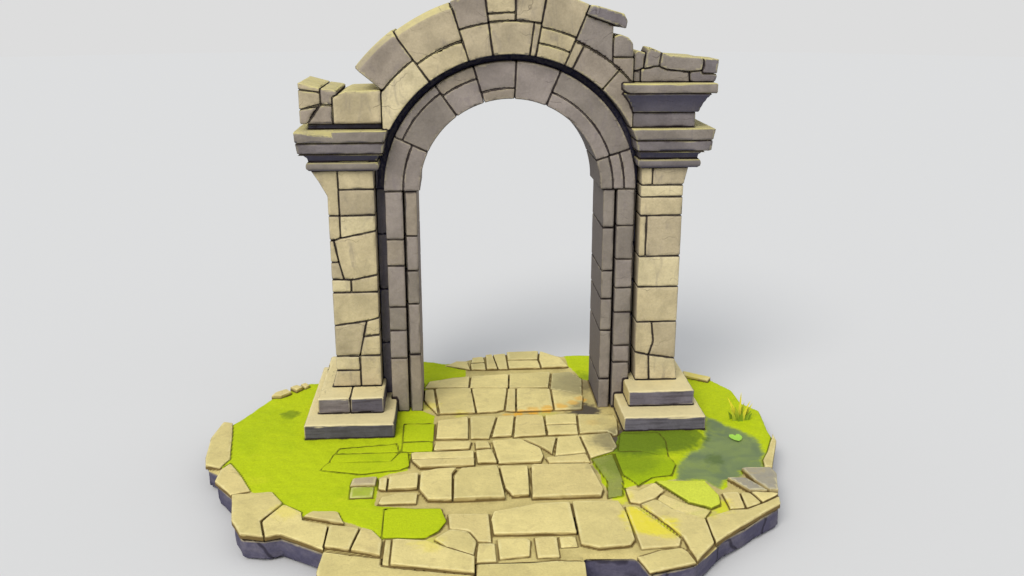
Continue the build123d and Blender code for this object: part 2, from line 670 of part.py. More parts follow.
# Beds of the jambs and their fillets, as shares of the height from the paving to the springing
jamb_joints = {
    "left": {"inner": (0.264, 0.50, 0.65, 0.805), "outer": (0.251, 0.381, 0.489, 0.675, 0.792),
             "fillet": (0.30, 0.55, 0.80)},
    "right": {"inner": (0.128, 0.36, 0.507, 0.636, 0.83), "outer": (0.21, 0.29, 0.447, 0.56, 0.69, 0.84),
              "fillet": (0.41, 0.575, 0.744)}}

# Voussoirs: first and last angle in degrees from the right springing, then foot and head above the
# ring's inner radius, where None is the ring's full thickness
inner_ring_layout = [
    (0, 18.8, 0, 97), (0, 18.8, 97, 180), (0, 18.8, 180, None),
    (18.8, 67.3, 0, 107), (18.8, 67.3, 107, None), (67.3, 87.5, 0, None),
    (87.5, 106.5, 0, 77), (87.5, 106.5, 77, None), (106.5, 125.3, 0, 180), (106.5, 125.3, 180, None),
    (125.3, 154.5, 0, 205), (125.3, 154.5, 205, None), (154.5, 180, 0, 125), (154.5, 180, 125, None)]
ruined_end_angle = 67.2
ruined_end_foot = 186
outer_lower_row = [
    (24, 48.5, 0, ruined_end_foot), (48.5, 63.7, 0, ruined_end_foot),
    (63.7, ruined_end_angle, 0, ruined_end_foot), (ruined_end_angle, 79.8, 0, 95),
    (ruined_end_angle, 79.8, 95, 205), (79.8, 82.3, 0, 230), (82.3, 97.5, 0, 230), (97.5, 107.6, 0, 225),
    (107.6, 126, 0, 150), (126, 156, 0, 188)]
outer_upper_row = [
    (ruined_end_angle, 79.8, 205, 450), (79.8, 88.6, 230, 432), (88.6, 97.5, 230, 285),
    (88.6, 97.5, 285, 440), (97.5, 107.6, 225, 428)]
hooded_stones = [(107.6, 126, 150, 421), (126, 141, 188, 440)]
recess_ring_joints = [0, 32, 61, 90, 120, 149, 180]

# Ruined right end of the upper row: a block, a flat cap on its sloping top and rubble beside it. The
# cap's outline starts from the block's upper left corner, the rubble's from the corner between the
# wall's inner end and the top slab
ruined_block_head = 378
ruined_block_end = 157
cap_outline = [(0, 0), (29, 66), (75, 61), (263, 7), (289, -43), (279, -98)]
cap_overhang = 34
rubble_outlines = [
    [(-157, 178), (-157, 316), (-110, 338), (-47, 315), (-13, 274), (-6, 178)],
    [(-157, 178), (-6, 178), (-6, -60), (-157, -60)]]


def inner_ring():
    """Voussoirs of the inner ring; the rows keep a fine clearance where their curved beds meet."""
    stones = []
    for start, end, foot, head in inner_ring_layout:
        low = intrados + foot + (row_clearance if foot else 0)
        high = inner_ring_outer if head is None else intrados + head
        stones.append(voussoir(start, end, low, high, -jamb_front, jamb_back, ring_arris))
    return stones


def recess_ring():
    """Thin set-back ring between the two orders, cut back from the shafts and the capitals."""
    depth = (-shaft_front, 2 * jamb_back)
    far = 2 * right.shaft_outer
    piers = [block(side.across(side.shaft_inner, far), depth, (0, capital_top)) for side in (left, right)]
    stones = []
    for start, end in zip(recess_ring_joints, recess_ring_joints[1:]):
        stone = voussoir(start, end, recess_ring_inner, recess_ring_outer, -recess_front, jamb_back)
        stones.append(stone - piers)
    return stones


def outer_order_bounds():
    """Room taken up by the masonry beside and below the outer order."""
    far = 4000
    depth = (-far, far)
    return [
        block((-far, -left_wall_inner + bedding_gap), depth, (0, left_wall_top + row_clearance)),
        block((right_wall_inner - bedding_gap, far), depth, (0, far)),
        block((-far, far), depth, (0, capital_top))]


def outer_ring(layout, hood=0):
    """Voussoirs of the outer order, cut against the walls and springing from the capitals."""
    bounds = outer_order_bounds()
    stones = []
    for start, end, foot, head in layout:
        low = outer_ring_inner + foot + (row_clearance if foot else 0)
        high = outer_ring_inner + head
        stone = voussoir(start, end, low, high, -outer_ring_front, jamb_back, ring_arris, hood)
        stones.append(stone - bounds)
    return stones


def ruined_end():
    """Block, cap stone and rubble at the ruined right end of the outer order's upper row."""
    corner = on_ring(outer_ring_inner + ruined_block_head, ruined_end_angle)
    cap = [(corner[0] + x, corner[1] + z) for x, z in cap_outline]
    cap_stone = wall_stone(cap, -outer_ring_front - cap_overhang, jamb_back, slab_arris)
    slope = (cap[-1][1] - cap[0][1]) / (cap[-1][0] - cap[0][0])
    end = right_wall_inner - ruined_block_end
    bed_radius = outer_ring_inner + ruined_end_foot
    reach = ring_cylinder(bed_radius + row_clearance, -2 * outer_ring_front, 2 * jamb_back)
    foot = on_ring(bed_radius, ruined_end_angle)
    outline = [foot, corner, (end, corner[1] + slope * (end - corner[0])), (end, spring_level)]
    ruined_block = wall_stone(outline, -outer_ring_front, jamb_back, ring_arris) - reach
    rubble = []
    for points in rubble_outlines:
        outline = [(right_wall_inner + x, top_slab_top + z) for x, z in points]
        rubble.append(wall_stone(outline, -outer_ring_front, jamb_back, slab_arris) - reach)
    return ruined_block, cap_stone, rubble


# Stones above the left capital, in shares of the wall's length and height, seen from the front
left_wall_layout = [
    [(0, 0), (0.09, 0), (0.265, 0.59), (0, 0.43)],
    [(0.09, 0), (0.405, 0), (0.405, 0.55), (0.265, 0.59)],
    [(0.405, 0), (1, 0), (1, 1), (0.56, 0.975), (0.47, 0.873), (0.405, 0.80)],
    [(0, 0.43), (0.265, 0.59), (0.265, 0.94), (0, 1.03)],
    [(0, 1.03), (0.265, 0.94), (0.265, 1.07), (0, 1.24)],
    [(0.265, 0.59), (0.405, 0.55), (0.405, 0.80), (0.47, 0.873), (0.46, 1.0), (0.265, 1.06)]]

# Broken stones on the right: face outline from the wall's inner end and the slab's top, then how far
# the stone is set back from the wall's front and how deep it is
ruin_layout = [
    ([(2, 0), (54, 0), (54, 92), (2, 80)], 30, 330),
    ([(54, 0), (410, 0), (405, 76), (240, 92), (182, 114), (148, 114), (74, 97), (54, 92)], 10, 480),
    ([(410, 0), (592, 0), (606, 36), (606, 58), (497, 60), (494, 84), (405, 76)], 4, 400),
    ([(2, 80), (54, 92), (74, 97), (88, 205), (28, 226), (2, 200)], 22, 280),
    ([(74, 97), (148, 114), (182, 114), (196, 212), (106, 250), (88, 205)], 2, 260),
    ([(182, 114), (240, 92), (405, 76), (494, 84), (504, 150), (486, 176), (268, 190), (196, 212)], 0, 420),
    ([(497, 60), (606, 58), (618, 162), (508, 170), (504, 150), (494, 84)], 6, 300)]


def left_wall():
    """Set-back bed course and the broken stones above the left capital."""
    bed_x = (-left_wall_outer + left_wall_bed_set_back, -left_wall_inner)
    bed_y = (-wall_front + left_wall_bed_set_back, wall_back)
    bed = block(bed_x, bed_y, (capital_top, left_wall_foot), slab_arris)
    x_range = (-left_wall_outer, -left_wall_inner)
    z_range = (left_wall_foot, left_wall_top)
    outlines = panel(left_wall_layout, x_range, z_range)
    return [bed], [wall_stone(points, -wall_front, wall_back, pier_arris) for points in outlines]


def right_wall():
    """Frieze block, hollow moulding and top slab over the right capital."""
    depth = (-wall_front, wall_back)
    frieze = block((right_wall_inner, right_wall_outer), depth, (capital_top, upper_cavetto_foot), slab_arris)
    head_depth = (-wall_front - upper_cavetto_front, wall_back + upper_cavetto_back)
    head_width = (right_wall_inner - upper_cavetto_sides[0], right_wall_outer + upper_cavetto_sides[1])
    foot_width = (right_wall_inner, right_wall_outer + upper_cavetto_foot_out)
    foot_depth = (-wall_front - upper_cavetto_foot_out, wall_back)
    z_range = (upper_cavetto_foot, top_slab_foot)
    moulding = moulded_block(
        (foot_width, foot_depth), (head_width, head_depth), z_range, "hollow", upper_hollow_depth)
    left_end = head_width[0] - top_slab_sides[0]
    right_end = head_width[1] + top_slab_sides[1]
    outline = [
        (left_end + top_slab_break_width, top_slab_foot), (right_end, top_slab_foot),
        (right_end, top_slab_top), (left_end, top_slab_top),
        (left_end, top_slab_foot + top_slab_break_height)]
    slab = wall_stone(outline, head_depth[0] - top_slab_front, head_depth[1], slab_arris)
    behind_face = (-outer_ring_front - row_clearance, 2 * wall_back)
    room = block((0, right_wall_inner), behind_face, (0, 2 * top_slab_top))
    return [frieze], [moulding - room], [slab - room]


def ruin_stones():
    """Broken stones left on top of the right pier."""
    stones = []
    for outline, set_back, depth in ruin_layout:
        points = [(right_wall_inner + x, top_slab_top + z) for x, z in outline]
        front = -wall_front + set_back
        stones.append(wall_stone(points, front, front + depth, slab_arris))
    return stones


# Grass blades: place, width, height and sideways lean
grass_blades = [
    ((1740, -640), 18, 235, 0), ((1718, -632), 20, 190, -80), ((1764, -652), 14, 150, 45),
    ((1800, -605), 14, 120, 60), ((1700, -660), 14, 110, -25)]
leaf_outline = [(1630, -862), (1585, -985), (1640, -1010), (1690, -900)]
leaf_thickness = 4


def plants():
    """Grass blades on the turf at the right shore and one leaf on the low wet ground."""
    solids = []
    for (x, y), width, height, lean in grass_blades:
        half = width / 2
        bend = (lean / 2, height / 2)
        points = [(-half, 0), (half, 0), (bend[0] + half, bend[1]), (lean, height), (bend[0] - half, bend[1])]
        blade = Polygon(*[(x + u, turf_top + v) for u, v in points], align=None)
        solids.append(extrude(Plane.XZ.offset(-y) * blade, amount=half, dir=(0, -1, 0)))
    leaf = Plane.XY.offset(rock_height + pool_bed_thickness) * Polygon(*leaf_outline, align=None)
    solids.append(extrude(leaf, amount=leaf_thickness, dir=(0, 0, 1)))
    return solids


def build_ground():
    """Nodes of the island, its turf and its slabs."""
    nodes = {
        "rock_base": rock(),
        "rim_slabs_left": slabs(rim_left),
        "rim_slabs_front": slabs(rim_front),
        "rim_slabs_right": slabs(rim_right),
        "leaning_slabs": slabs(leaning_slabs),
        "edge_stones_back": slabs(edge_stones_back),
        "ledge_stones": slabs(ledge_stones),
        "turf_ledges_left": slabs(turf_ledges_left, turf_thickness, turf_arris),
        "turf_slabs_right": slabs(turf_slabs_right, turf_thickness, turf_arris),
        "wet_ground": ground_slab(Polygon(*pool_outline, align=None), pool_bed_thickness),
        "plants": plants()}
    for side in (left, right):
        nodes["turf_" + side.name] = turf(side)
    for name, row in paving_rows.items():
        nodes[name] = slabs(row)
    return nodes


def build_pier(side, courses, members):
    """Nodes of one pier, from its base steps to its capital."""
    nodes = {}
    nodes[side.name + "_lower_step"], nodes[side.name + "_upper_step"] = base_steps(side)
    for stretch, stones in shaft(side, courses).items():
        nodes[side.name + "_shaft_" + stretch] = stones
    for member, solids in capital(side, members).items():
        nodes[side.name + "_" + member] = solids
    return nodes


def build_arch():
    """Nodes of the jambs and the rings of voussoirs."""
    nodes = {}
    for side in (left, right):
        inner, outer = jamb(side, jamb_joints[side.name]["inner"], jamb_joints[side.name]["outer"])
        nodes[side.name + "_jamb_inner_order"] = inner
        nodes[side.name + "_jamb_outer_order"] = outer
        nodes[side.name + "_recess_fillet"] = recess(side, jamb_joints[side.name]["fillet"])
    ruined_block, cap_stone, rubble = ruined_end()
    nodes["inner_ring"] = inner_ring()
    nodes["recess_ring"] = recess_ring()
    nodes["outer_ring_lower_row"] = outer_ring(outer_lower_row)
    nodes["outer_ring_upper_row"] = outer_ring(outer_upper_row) + outer_ring(hooded_stones, hood=hood_bevel)
    nodes["outer_ring_upper_row"].append(ruined_block)
    nodes["arch_cap_stone"] = [cap_stone]
    nodes["arch_rubble"] = rubble
    return nodes


def build_walls():
    """Nodes of the masonry above the two capitals."""
    bed, stones = left_wall()
    frieze, moulding, slab = right_wall()
    return {
        "left_wall_bed": bed,
        "left_wall_stones": stones,
        "right_frieze": frieze,
        "right_upper_cavetto": moulding,
        "right_top_slab": slab,
        "right_ruin_stones": ruin_stones()}


nodes = build_ground()
nodes.update(build_pier(left, left_shaft_courses, left_members))
nodes.update(build_pier(right, right_shaft_courses, right_members))
nodes.update(build_arch())
nodes.update(build_walls())
nodes["left_upper_slab"] = [chipped(slab) for slab in nodes["left_upper_slab"]]

os.makedirs("parts", exist_ok=True)
for name, shapes in nodes.items():
    solids = [solid for shape in shapes for solid in shape.solids()]
    node = solids[0] if len(solids) == 1 else Compound(solids)
    node.label = name
    export_step(node, "parts/" + name + ".step")
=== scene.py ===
"""Looks of a ruined stone gateway on an island of rock, turf and flagstones."""
import logging
import math
from collections.abc import Callable, Sequence
from dataclasses import dataclass, field
from enum import Enum

import bmesh
import bpy
import numpy as np
from mathutils import Euler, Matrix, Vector, noise
from mathutils.bvhtree import BVHTree


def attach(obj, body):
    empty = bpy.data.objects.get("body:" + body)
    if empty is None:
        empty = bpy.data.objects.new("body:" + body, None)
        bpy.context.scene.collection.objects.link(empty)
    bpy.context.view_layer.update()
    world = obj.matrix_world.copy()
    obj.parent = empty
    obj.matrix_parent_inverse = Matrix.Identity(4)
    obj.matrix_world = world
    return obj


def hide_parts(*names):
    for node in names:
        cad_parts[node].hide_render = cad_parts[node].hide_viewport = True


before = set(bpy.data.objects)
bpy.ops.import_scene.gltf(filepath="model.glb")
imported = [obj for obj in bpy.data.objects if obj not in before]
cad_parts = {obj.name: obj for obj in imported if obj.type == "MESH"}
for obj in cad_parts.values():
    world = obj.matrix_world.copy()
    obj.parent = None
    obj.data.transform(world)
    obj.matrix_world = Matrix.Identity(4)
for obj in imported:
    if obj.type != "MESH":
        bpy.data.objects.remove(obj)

log = logging.getLogger("gateway")
Colour = tuple[float, float, float]
Outline = tuple[tuple[float, float], ...]
Cell = tuple[int, int]
Socket = bpy.types.NodeSocket


def srgb(red: int, green: int, blue: int) -> Colour:
    """Linear colour of an 8-bit display colour.

    Args:
        red: Red from 0 to 255.
        green: Green from 0 to 255.
        blue: Blue from 0 to 255.

    Returns:
        The linear red, green and blue, from 0 to 1.
    """
    channels = []
    for value in (red, green, blue):
        share = value / 255
        channels.append(share / 12.92 if share <= 0.04045 else ((share + 0.055) / 1.055) ** 2.4)
    return channels[0], channels[1], channels[2]


class Tint(Enum):
    """Body colours of the stones and slabs; the darkest also serve as painted shade on fronts, undersides and
    recesses, and SHADED_TURF is painted shadow on grass.
    """

    SAND = srgb(196, 181, 146)
    PALE_SAND = srgb(207, 193, 156)
    OCHRE = srgb(219, 201, 136)
    DUN = srgb(180, 166, 138)
    WARM_GREY = srgb(156, 144, 130)
    TAUPE = srgb(148, 138, 132)
    ASH = srgb(139, 130, 122)
    MAUVE_GREY = srgb(122, 115, 116)
    DUSK = srgb(114, 109, 120)
    SLATE = srgb(92, 88, 98)
    NIGHT = srgb(74, 72, 88)
    STRAW = srgb(230, 213, 144)
    BUFF = srgb(216, 200, 134)
    SAGE = srgb(172, 163, 116)
    MEADOW = srgb(190, 207, 30)
    OLIVE = srgb(152, 158, 84)
    MOSS = srgb(160, 184, 26)
    LIME = srgb(214, 222, 78)
    SHADED_TURF = srgb(112, 134, 34)
    CLIFF = srgb(92, 89, 102)
    SHALE = srgb(146, 143, 140)


class Graph:
    """Short calls that build the node tree of one material."""

    cloud_low = 0.3
    cloud_high = 0.7

    def __init__(self, name: str) -> None:
        """Start an empty tree for a new material.

        Args:
            name: Name of the material.
        """
        self.material = bpy.data.materials.new(name)
        self.material.use_nodes = True
        self.tree = self.material.node_tree
        self.tree.nodes.clear()
        self.places = self.node("ShaderNodeTexCoord")

    def node(self, kind: str) -> bpy.types.Node:
        """Add a node of the given kind."""
        return self.tree.nodes.new(kind)

    def put(self, socket: Socket, value: object) -> None:
        """Link an output to a socket, or set the socket's own value.

        Args:
            socket: Input to feed.
            value: An output socket, a number or a linear colour.
        """
        if isinstance(value, Socket):
            self.tree.links.new(value, socket)
        elif isinstance(value, tuple) and socket.type == "RGBA":
            socket.default_value = (*value, 1.0)
        else:
            socket.default_value = value

    def place(self) -> Socket:
        """Position in the object's own frame, in metres."""
        return self.places.outputs["Object"]

    def stretched(self, scale: tuple[float, float, float]) -> Socket:
        """Position scaled by its own factor along each axis.

        Args:
            scale: Factors along X, Y and Z.

        Returns:
            The output that holds the position.
        """
        mapping = self.node("ShaderNodeMapping")
        self.put(mapping.inputs["Vector"], self.place())
        mapping.inputs["Scale"].default_value = scale
        return mapping.outputs["Vector"]

    def attribute(self, name: str, colour: bool = False) -> Socket:
        """Value that the mesh carries under a name.

        Args:
            name: Name of the mesh's attribute.
            colour: Whether it is a colour and not a number.

        Returns:
            The output that holds the value.
        """
        reader = self.node("ShaderNodeAttribute")
        reader.attribute_name = name
        return reader.outputs["Color" if colour else "Fac"]

    def facing(self, axis: str) -> Socket:
        """Component of the surface's direction along an axis, from -1 to 1."""
        return self.part(self.places.outputs["Normal"], axis)

    def along(self, axis: str) -> Socket:
        """Coordinate along an axis, in metres."""
        return self.part(self.place(), axis)

    def part(self, vector: Socket, axis: str) -> Socket:
        """Component of a vector along an axis.

        Args:
            vector: Vector to read.
            axis: X, Y or Z.

        Returns:
            The output that holds the component.
        """
        parts = self.node("ShaderNodeSeparateXYZ")
        self.put(parts.inputs[0], vector)
        return parts.outputs[axis]

    def noise(self, scale: float, detail: float = 4, roughness: float = 0.55, distortion: float = 0,
              vector: Socket | None = None) -> Socket:
        """Cloudy value from 0 to 1.

        Args:
            scale: Clouds per metre.
            detail: Number of finer layers.
            roughness: Weight of the finer layers.
            distortion: Amount that the clouds are warped.
            vector: Position to read, or None for the object's own.

        Returns:
            The output that holds the value.
        """
        texture = self.node("ShaderNodeTexNoise")
        self.put(texture.inputs["Vector"], vector or self.place())
        for socket, value in (("Scale", scale), ("Detail", detail), ("Roughness", roughness),
                              ("Distortion", distortion)):
            texture.inputs[socket].default_value = value
        return texture.outputs["Fac"]

    def cells(self, scale: float, vector: Socket | None = None) -> Socket:
        """Distance to the border of the nearest of many irregular cells.

        Args:
            scale: Cells per metre.
            vector: Position to read, or None for the object's own.

        Returns:
            The output that holds the distance.
        """
        texture = self.node("ShaderNodeTexVoronoi")
        texture.feature = "DISTANCE_TO_EDGE"
        self.put(texture.inputs["Vector"], vector or self.place())
        texture.inputs["Scale"].default_value = scale
        return texture.outputs["Distance"]

    def warped(self, amount: float, scale: float) -> Socket:
        """Position pushed about by clouds, so that lines read from it wander.

        Args:
            amount: Longest push, in metres.
            scale: Clouds per metre.

        Returns:
            The output that holds the position.
        """
        texture = self.node("ShaderNodeTexNoise")
        self.put(texture.inputs["Vector"], self.place())
        texture.inputs["Scale"].default_value = scale
        texture.inputs["Detail"].default_value = 3
        push = self.node("ShaderNodeVectorMath")
        push.operation = "SCALE"
        self.put(push.inputs[0], texture.outputs["Color"])
        push.inputs["Scale"].default_value = amount
        total = self.node("ShaderNodeVectorMath")
        self.put(total.inputs[0], self.place())
        self.put(total.inputs[1], push.outputs[0])
        return total.outputs[0]

    def calc(self, operation: str, first: object, second: object = 0.0, clamp: bool = False) -> Socket:
        """Result of an arithmetic step on two values.

        Args:
            operation: Name of the step.
            first: First value.
            second: Second value, where the step has one.
            clamp: Whether to hold the result between 0 and 1.

        Returns:
            The output that holds the result.
        """
        step = self.node("ShaderNodeMath")
        step.operation = operation
        step.use_clamp = clamp
        self.put(step.inputs[0], first)
        self.put(step.inputs[1], second)
        return step.outputs[0]

    def times(self, first: object, second: object) -> Socket:
        """Product of two values."""
        return self.calc("MULTIPLY", first, second)

    def plus(self, first: object, second: object) -> Socket:
        """Sum of two values."""
        return self.calc("ADD", first, second)

    def vary(self, cloud: Socket, floor: float, top: float) -> Socket:
        """Cloudy value stretched so that most of it runs from floor to top."""
        return self.span(cloud, self.cloud_low, self.cloud_high, floor, top)

    def span(self, value: object, low: float, high: float, floor: float = 0.0, top: float = 1.0) -> Socket:
        """Value eased from one range to another and held at its ends.

        Args:
            value: Value to read.
            low: Input that gives floor.
            high: Input that gives top.
            floor: Output at low.
            top: Output at high.

        Returns:
            The output that holds the eased value.
        """
        step = self.node("ShaderNodeMapRange")
        step.interpolation_type = "SMOOTHSTEP"
        self.put(step.inputs["Value"], value)
        for socket, number in (("From Min", low), ("From Max", high), ("To Min", floor), ("To Max", top)):
            step.inputs[socket].default_value = number
        return step.outputs["Result"]

    def mix(self, share: object, first: object, second: object, mode: str = "MIX") -> Socket:
        """Colour between two colours, or one laid over the other by a mode.

        Args:
            share: Share of the second colour, from 0 to 1.
            first: First colour.
            second: Second colour.
            mode: How the second is laid over the first.

        Returns:
            The output that holds the colour.
        """
        blend = self.node("ShaderNodeMix")
        blend.data_type = "RGBA"
        blend.blend_type = mode
        self.put(blend.inputs[0], share)
        self.put(blend.inputs[6], first)
        self.put(blend.inputs[7], second)
        return blend.outputs[2]

    def shade(self, colour: Socket, amount: Socket) -> Socket:
        """Colour made lighter or darker by a factor.

        Args:
            colour: Colour to change.
            amount: The factor.

        Returns:
            The output that holds the colour.
        """
        grey = self.node("ShaderNodeCombineColor")
        for channel in range(3):
            self.put(grey.inputs[channel], amount)
        return self.mix(1.0, colour, grey.outputs[0], "MULTIPLY")

    def relief(self, height: Socket, depth: float, strength: float) -> Socket:
        """Surface direction tilted by a height.

        Args:
            height: Height from 0 to 1.
            depth: Real depth of the full height, in metres.
            strength: Share of the tilt that is used.

        Returns:
            The output that holds the direction.
        """
        bump = self.node("ShaderNodeBump")
        bump.inputs["Strength"].default_value = strength
        bump.inputs["Distance"].default_value = depth
        self.put(bump.inputs["Height"], height)
        return bump.outputs["Normal"]

    def finish(self, colour: object, roughness: object, normal: Socket | None = None,
               specular: float = 0.2) -> bpy.types.Material:
        """Close the tree with a surface shader.

        Args:
            colour: Body colour.
            roughness: Roughness from 0 to 1.
            normal: Tilted surface direction, if any.
            specular: Level of the mirror-like part.

        Returns:
            The finished material.
        """
        surface = self.node("ShaderNodeBsdfPrincipled")
        self.put(surface.inputs["Base Color"], colour)
        self.put(surface.inputs["Roughness"], roughness)
        surface.inputs["Specular IOR Level"].default_value = specular
        if normal is not None:
            self.put(surface.inputs["Normal"], normal)
        out = self.node("ShaderNodeOutputMaterial")
        self.put(out.inputs["Surface"], surface.outputs["BSDF"])
        return self.material


@dataclass(frozen=True)
class StoneFinish:
    """Weathered stone with painted light and shade: the body colour comes from each stone, and the rest from these
    values.
    """

    name: str
    top: Colour
    under: Colour
    top_share: float = 0.75
    under_share: float = 0.8
    flank_shade: Colour = srgb(112, 104, 106)
    flank_shade_share: float = 0.45
    side: Colour | None = None
    shade: Colour = srgb(132, 124, 92)
    edge: Colour = srgb(236, 222, 176)
    edge_share: float = 0.3
    crack_axis: str = "Z"
    crack_rate: float = 6.0
    crack_bend: float = 1.1
    crack_share: float = 0.6
    west: Colour | None = None
    growth: Colour = srgb(232, 218, 24)
    rust: Colour = srgb(236, 178, 62)
    top_rag: float = 0.55
    mottle: float = 0.2
    bedding: float = 0.0
    joint: Colour = srgb(45, 35, 38)
    cloud_scale: float = 4.5
    wash_scale: float = 9
    grain_scale: float = 70
    lump_scale: float = 12
    pit_scale: float = 34
    relief_depth: float = 0.012
    relief_strength: float = 0.55

    def material(self) -> bpy.types.Material:
        """Build the material.

        Returns:
            The stone's material.
        """
        graph = Graph(self.name)
        grain = graph.noise(self.grain_scale, 5, 0.7)
        crack = self.cracks(graph)
        colour = graph.mix(crack, self.weathered_and_lit(graph, self.body(graph, grain)), self.joint)
        # Dark joints and painted contact shade where stones meet and at their feet.
        swell = graph.vary(graph.noise(7, 3), -0.10, 0.14)
        gap = graph.span(graph.plus(graph.attribute("joint"), swell), 0.08, 0.42, 0, 0.96)
        colour = graph.mix(gap, colour, self.joint)
        pits = graph.span(graph.noise(self.pit_scale, 6, 0.7), 0.3, 0.6)
        height = graph.plus(graph.times(graph.noise(self.lump_scale, 6, 0.62), 0.8), graph.times(pits, 0.2))
        height = graph.calc("SUBTRACT", height, graph.times(crack, 0.5))
        normal = graph.relief(height, self.relief_depth, self.relief_strength)
        return graph.finish(colour, graph.vary(grain, 0.72, 0.94), normal)

    def body(self, graph: Graph, grain: Socket) -> Socket:
        """Colour of the stone, clouded and washed, with painted shade on its flanks and a painted colour on faces
        turned west.

        Args:
            graph: Tree of the material.
            grain: Fine cloud that mottles the colour.

        Returns:
            The colour.
        """
        broad = graph.noise(self.cloud_scale, 5, 0.6, 0.4)
        colour = graph.shade(graph.attribute("tint", colour=True),
                             graph.vary(broad, 1 - self.mottle, 1 + 0.45 * self.mottle))
        washed = graph.noise(self.wash_scale, 4, 0.6, 1.2, graph.stretched((1, 1, 0.35)))
        colour = graph.mix(graph.span(washed, 0.52, 0.75, 0, 0.4), colour, self.flank_shade)
        colour = graph.shade(colour, graph.vary(grain, 0.92, 1.06))
        # Faces turned east or west take painted shade.
        across = graph.calc("ABSOLUTE", graph.facing("X"))
        colour = graph.mix(graph.span(across, 0.45, 0.95, 0, self.flank_shade_share), colour, self.flank_shade)
        if self.bedding:
            beds = graph.noise(5, 4, 0.6, 0.3, graph.stretched((0.7, 0.7, 9)))
            colour = graph.mix(graph.span(beds, 0.46, 0.66, 0, self.bedding), colour, self.joint)
        # Faces turned west take a painted colour: painted light on the pier bases, painted shade on the jambs.
        if self.west is not None:
            colour = graph.mix(graph.span(graph.facing("X"), -0.8, -0.4, 0.9, 0), colour, self.west)
        return colour

    def weathered_and_lit(self, graph: Graph, colour: Socket) -> Socket:
        """Colour with its staining and painted shadow, painted light on its top, painted shade underneath and on its
        sides, and worn arrises with painted highlights.

        Args:
            graph: Tree of the material.
            colour: Colour of the stone itself.

        Returns:
            The colour with its painted light and shade.
        """
        up = graph.facing("Z")
        if self.side is not None:
            # Where a side colour is given, every face that is not a top takes painted shade.
            colour = graph.mix(graph.span(up, 0.35, 0.8, 0.85, 0), colour, self.side)
            # Painted shadow patches, then growth and rust staining.
            colour = graph.mix(graph.attribute("shade"), colour, self.shade)
            colour = graph.mix(graph.times(graph.attribute("lush"), 0.95), colour, self.growth)
            colour = graph.mix(graph.times(graph.attribute("rust"), 0.9), colour, self.rust)
        # Pale top: painted light from above, partly yellow lichen.
        ragged = graph.span(graph.noise(14, 4, 0.6), 0.25, 0.6, self.top_rag, 1)
        upward = graph.times(graph.span(up, 0.3, 0.75, 0, self.top_share), ragged)
        colour = graph.mix(upward, colour, self.top)
        # Dark underside: painted shade.
        colour = graph.mix(graph.span(up, -0.75, -0.2, self.under_share, 0), colour, self.under)
        # Arrises: pale worn edges with painted highlight, brightest where they face up.
        worn = graph.times(graph.attribute("arris"), graph.span(graph.noise(11, 3), 0.35, 0.65, 0.2, 1))
        lit = graph.times(worn, graph.span(up, -0.25, 0.7, 0.45, 1.6))
        return graph.mix(graph.calc("MULTIPLY", lit, self.edge_share, True), colour, self.edge)

    def cracks(self, graph: Graph) -> Socket:
        """Hairlines that wander across an axis and come and go.

        Args:
            graph: Tree of the material.

        Returns:
            Share of crack, from 0 to 1.
        """
        climb = graph.times(graph.along(self.crack_axis), self.crack_rate)
        wander = graph.times(graph.noise(3.2, 3, 0.55), self.crack_bend * 2)
        strokes = graph.calc("FRACT", graph.plus(climb, wander))
        near_line = graph.calc("ABSOLUTE", graph.calc("SUBTRACT", strokes, 0.5))
        width = graph.span(graph.noise(6, 2), 0.35, 0.65, 0.004, 0.016)
        lines = graph.calc("SUBTRACT", 1.0, graph.calc("DIVIDE", near_line, width), True)
        return graph.times(lines, graph.span(graph.noise(4.4, 2), 0.52, 0.6, 0, self.crack_share))


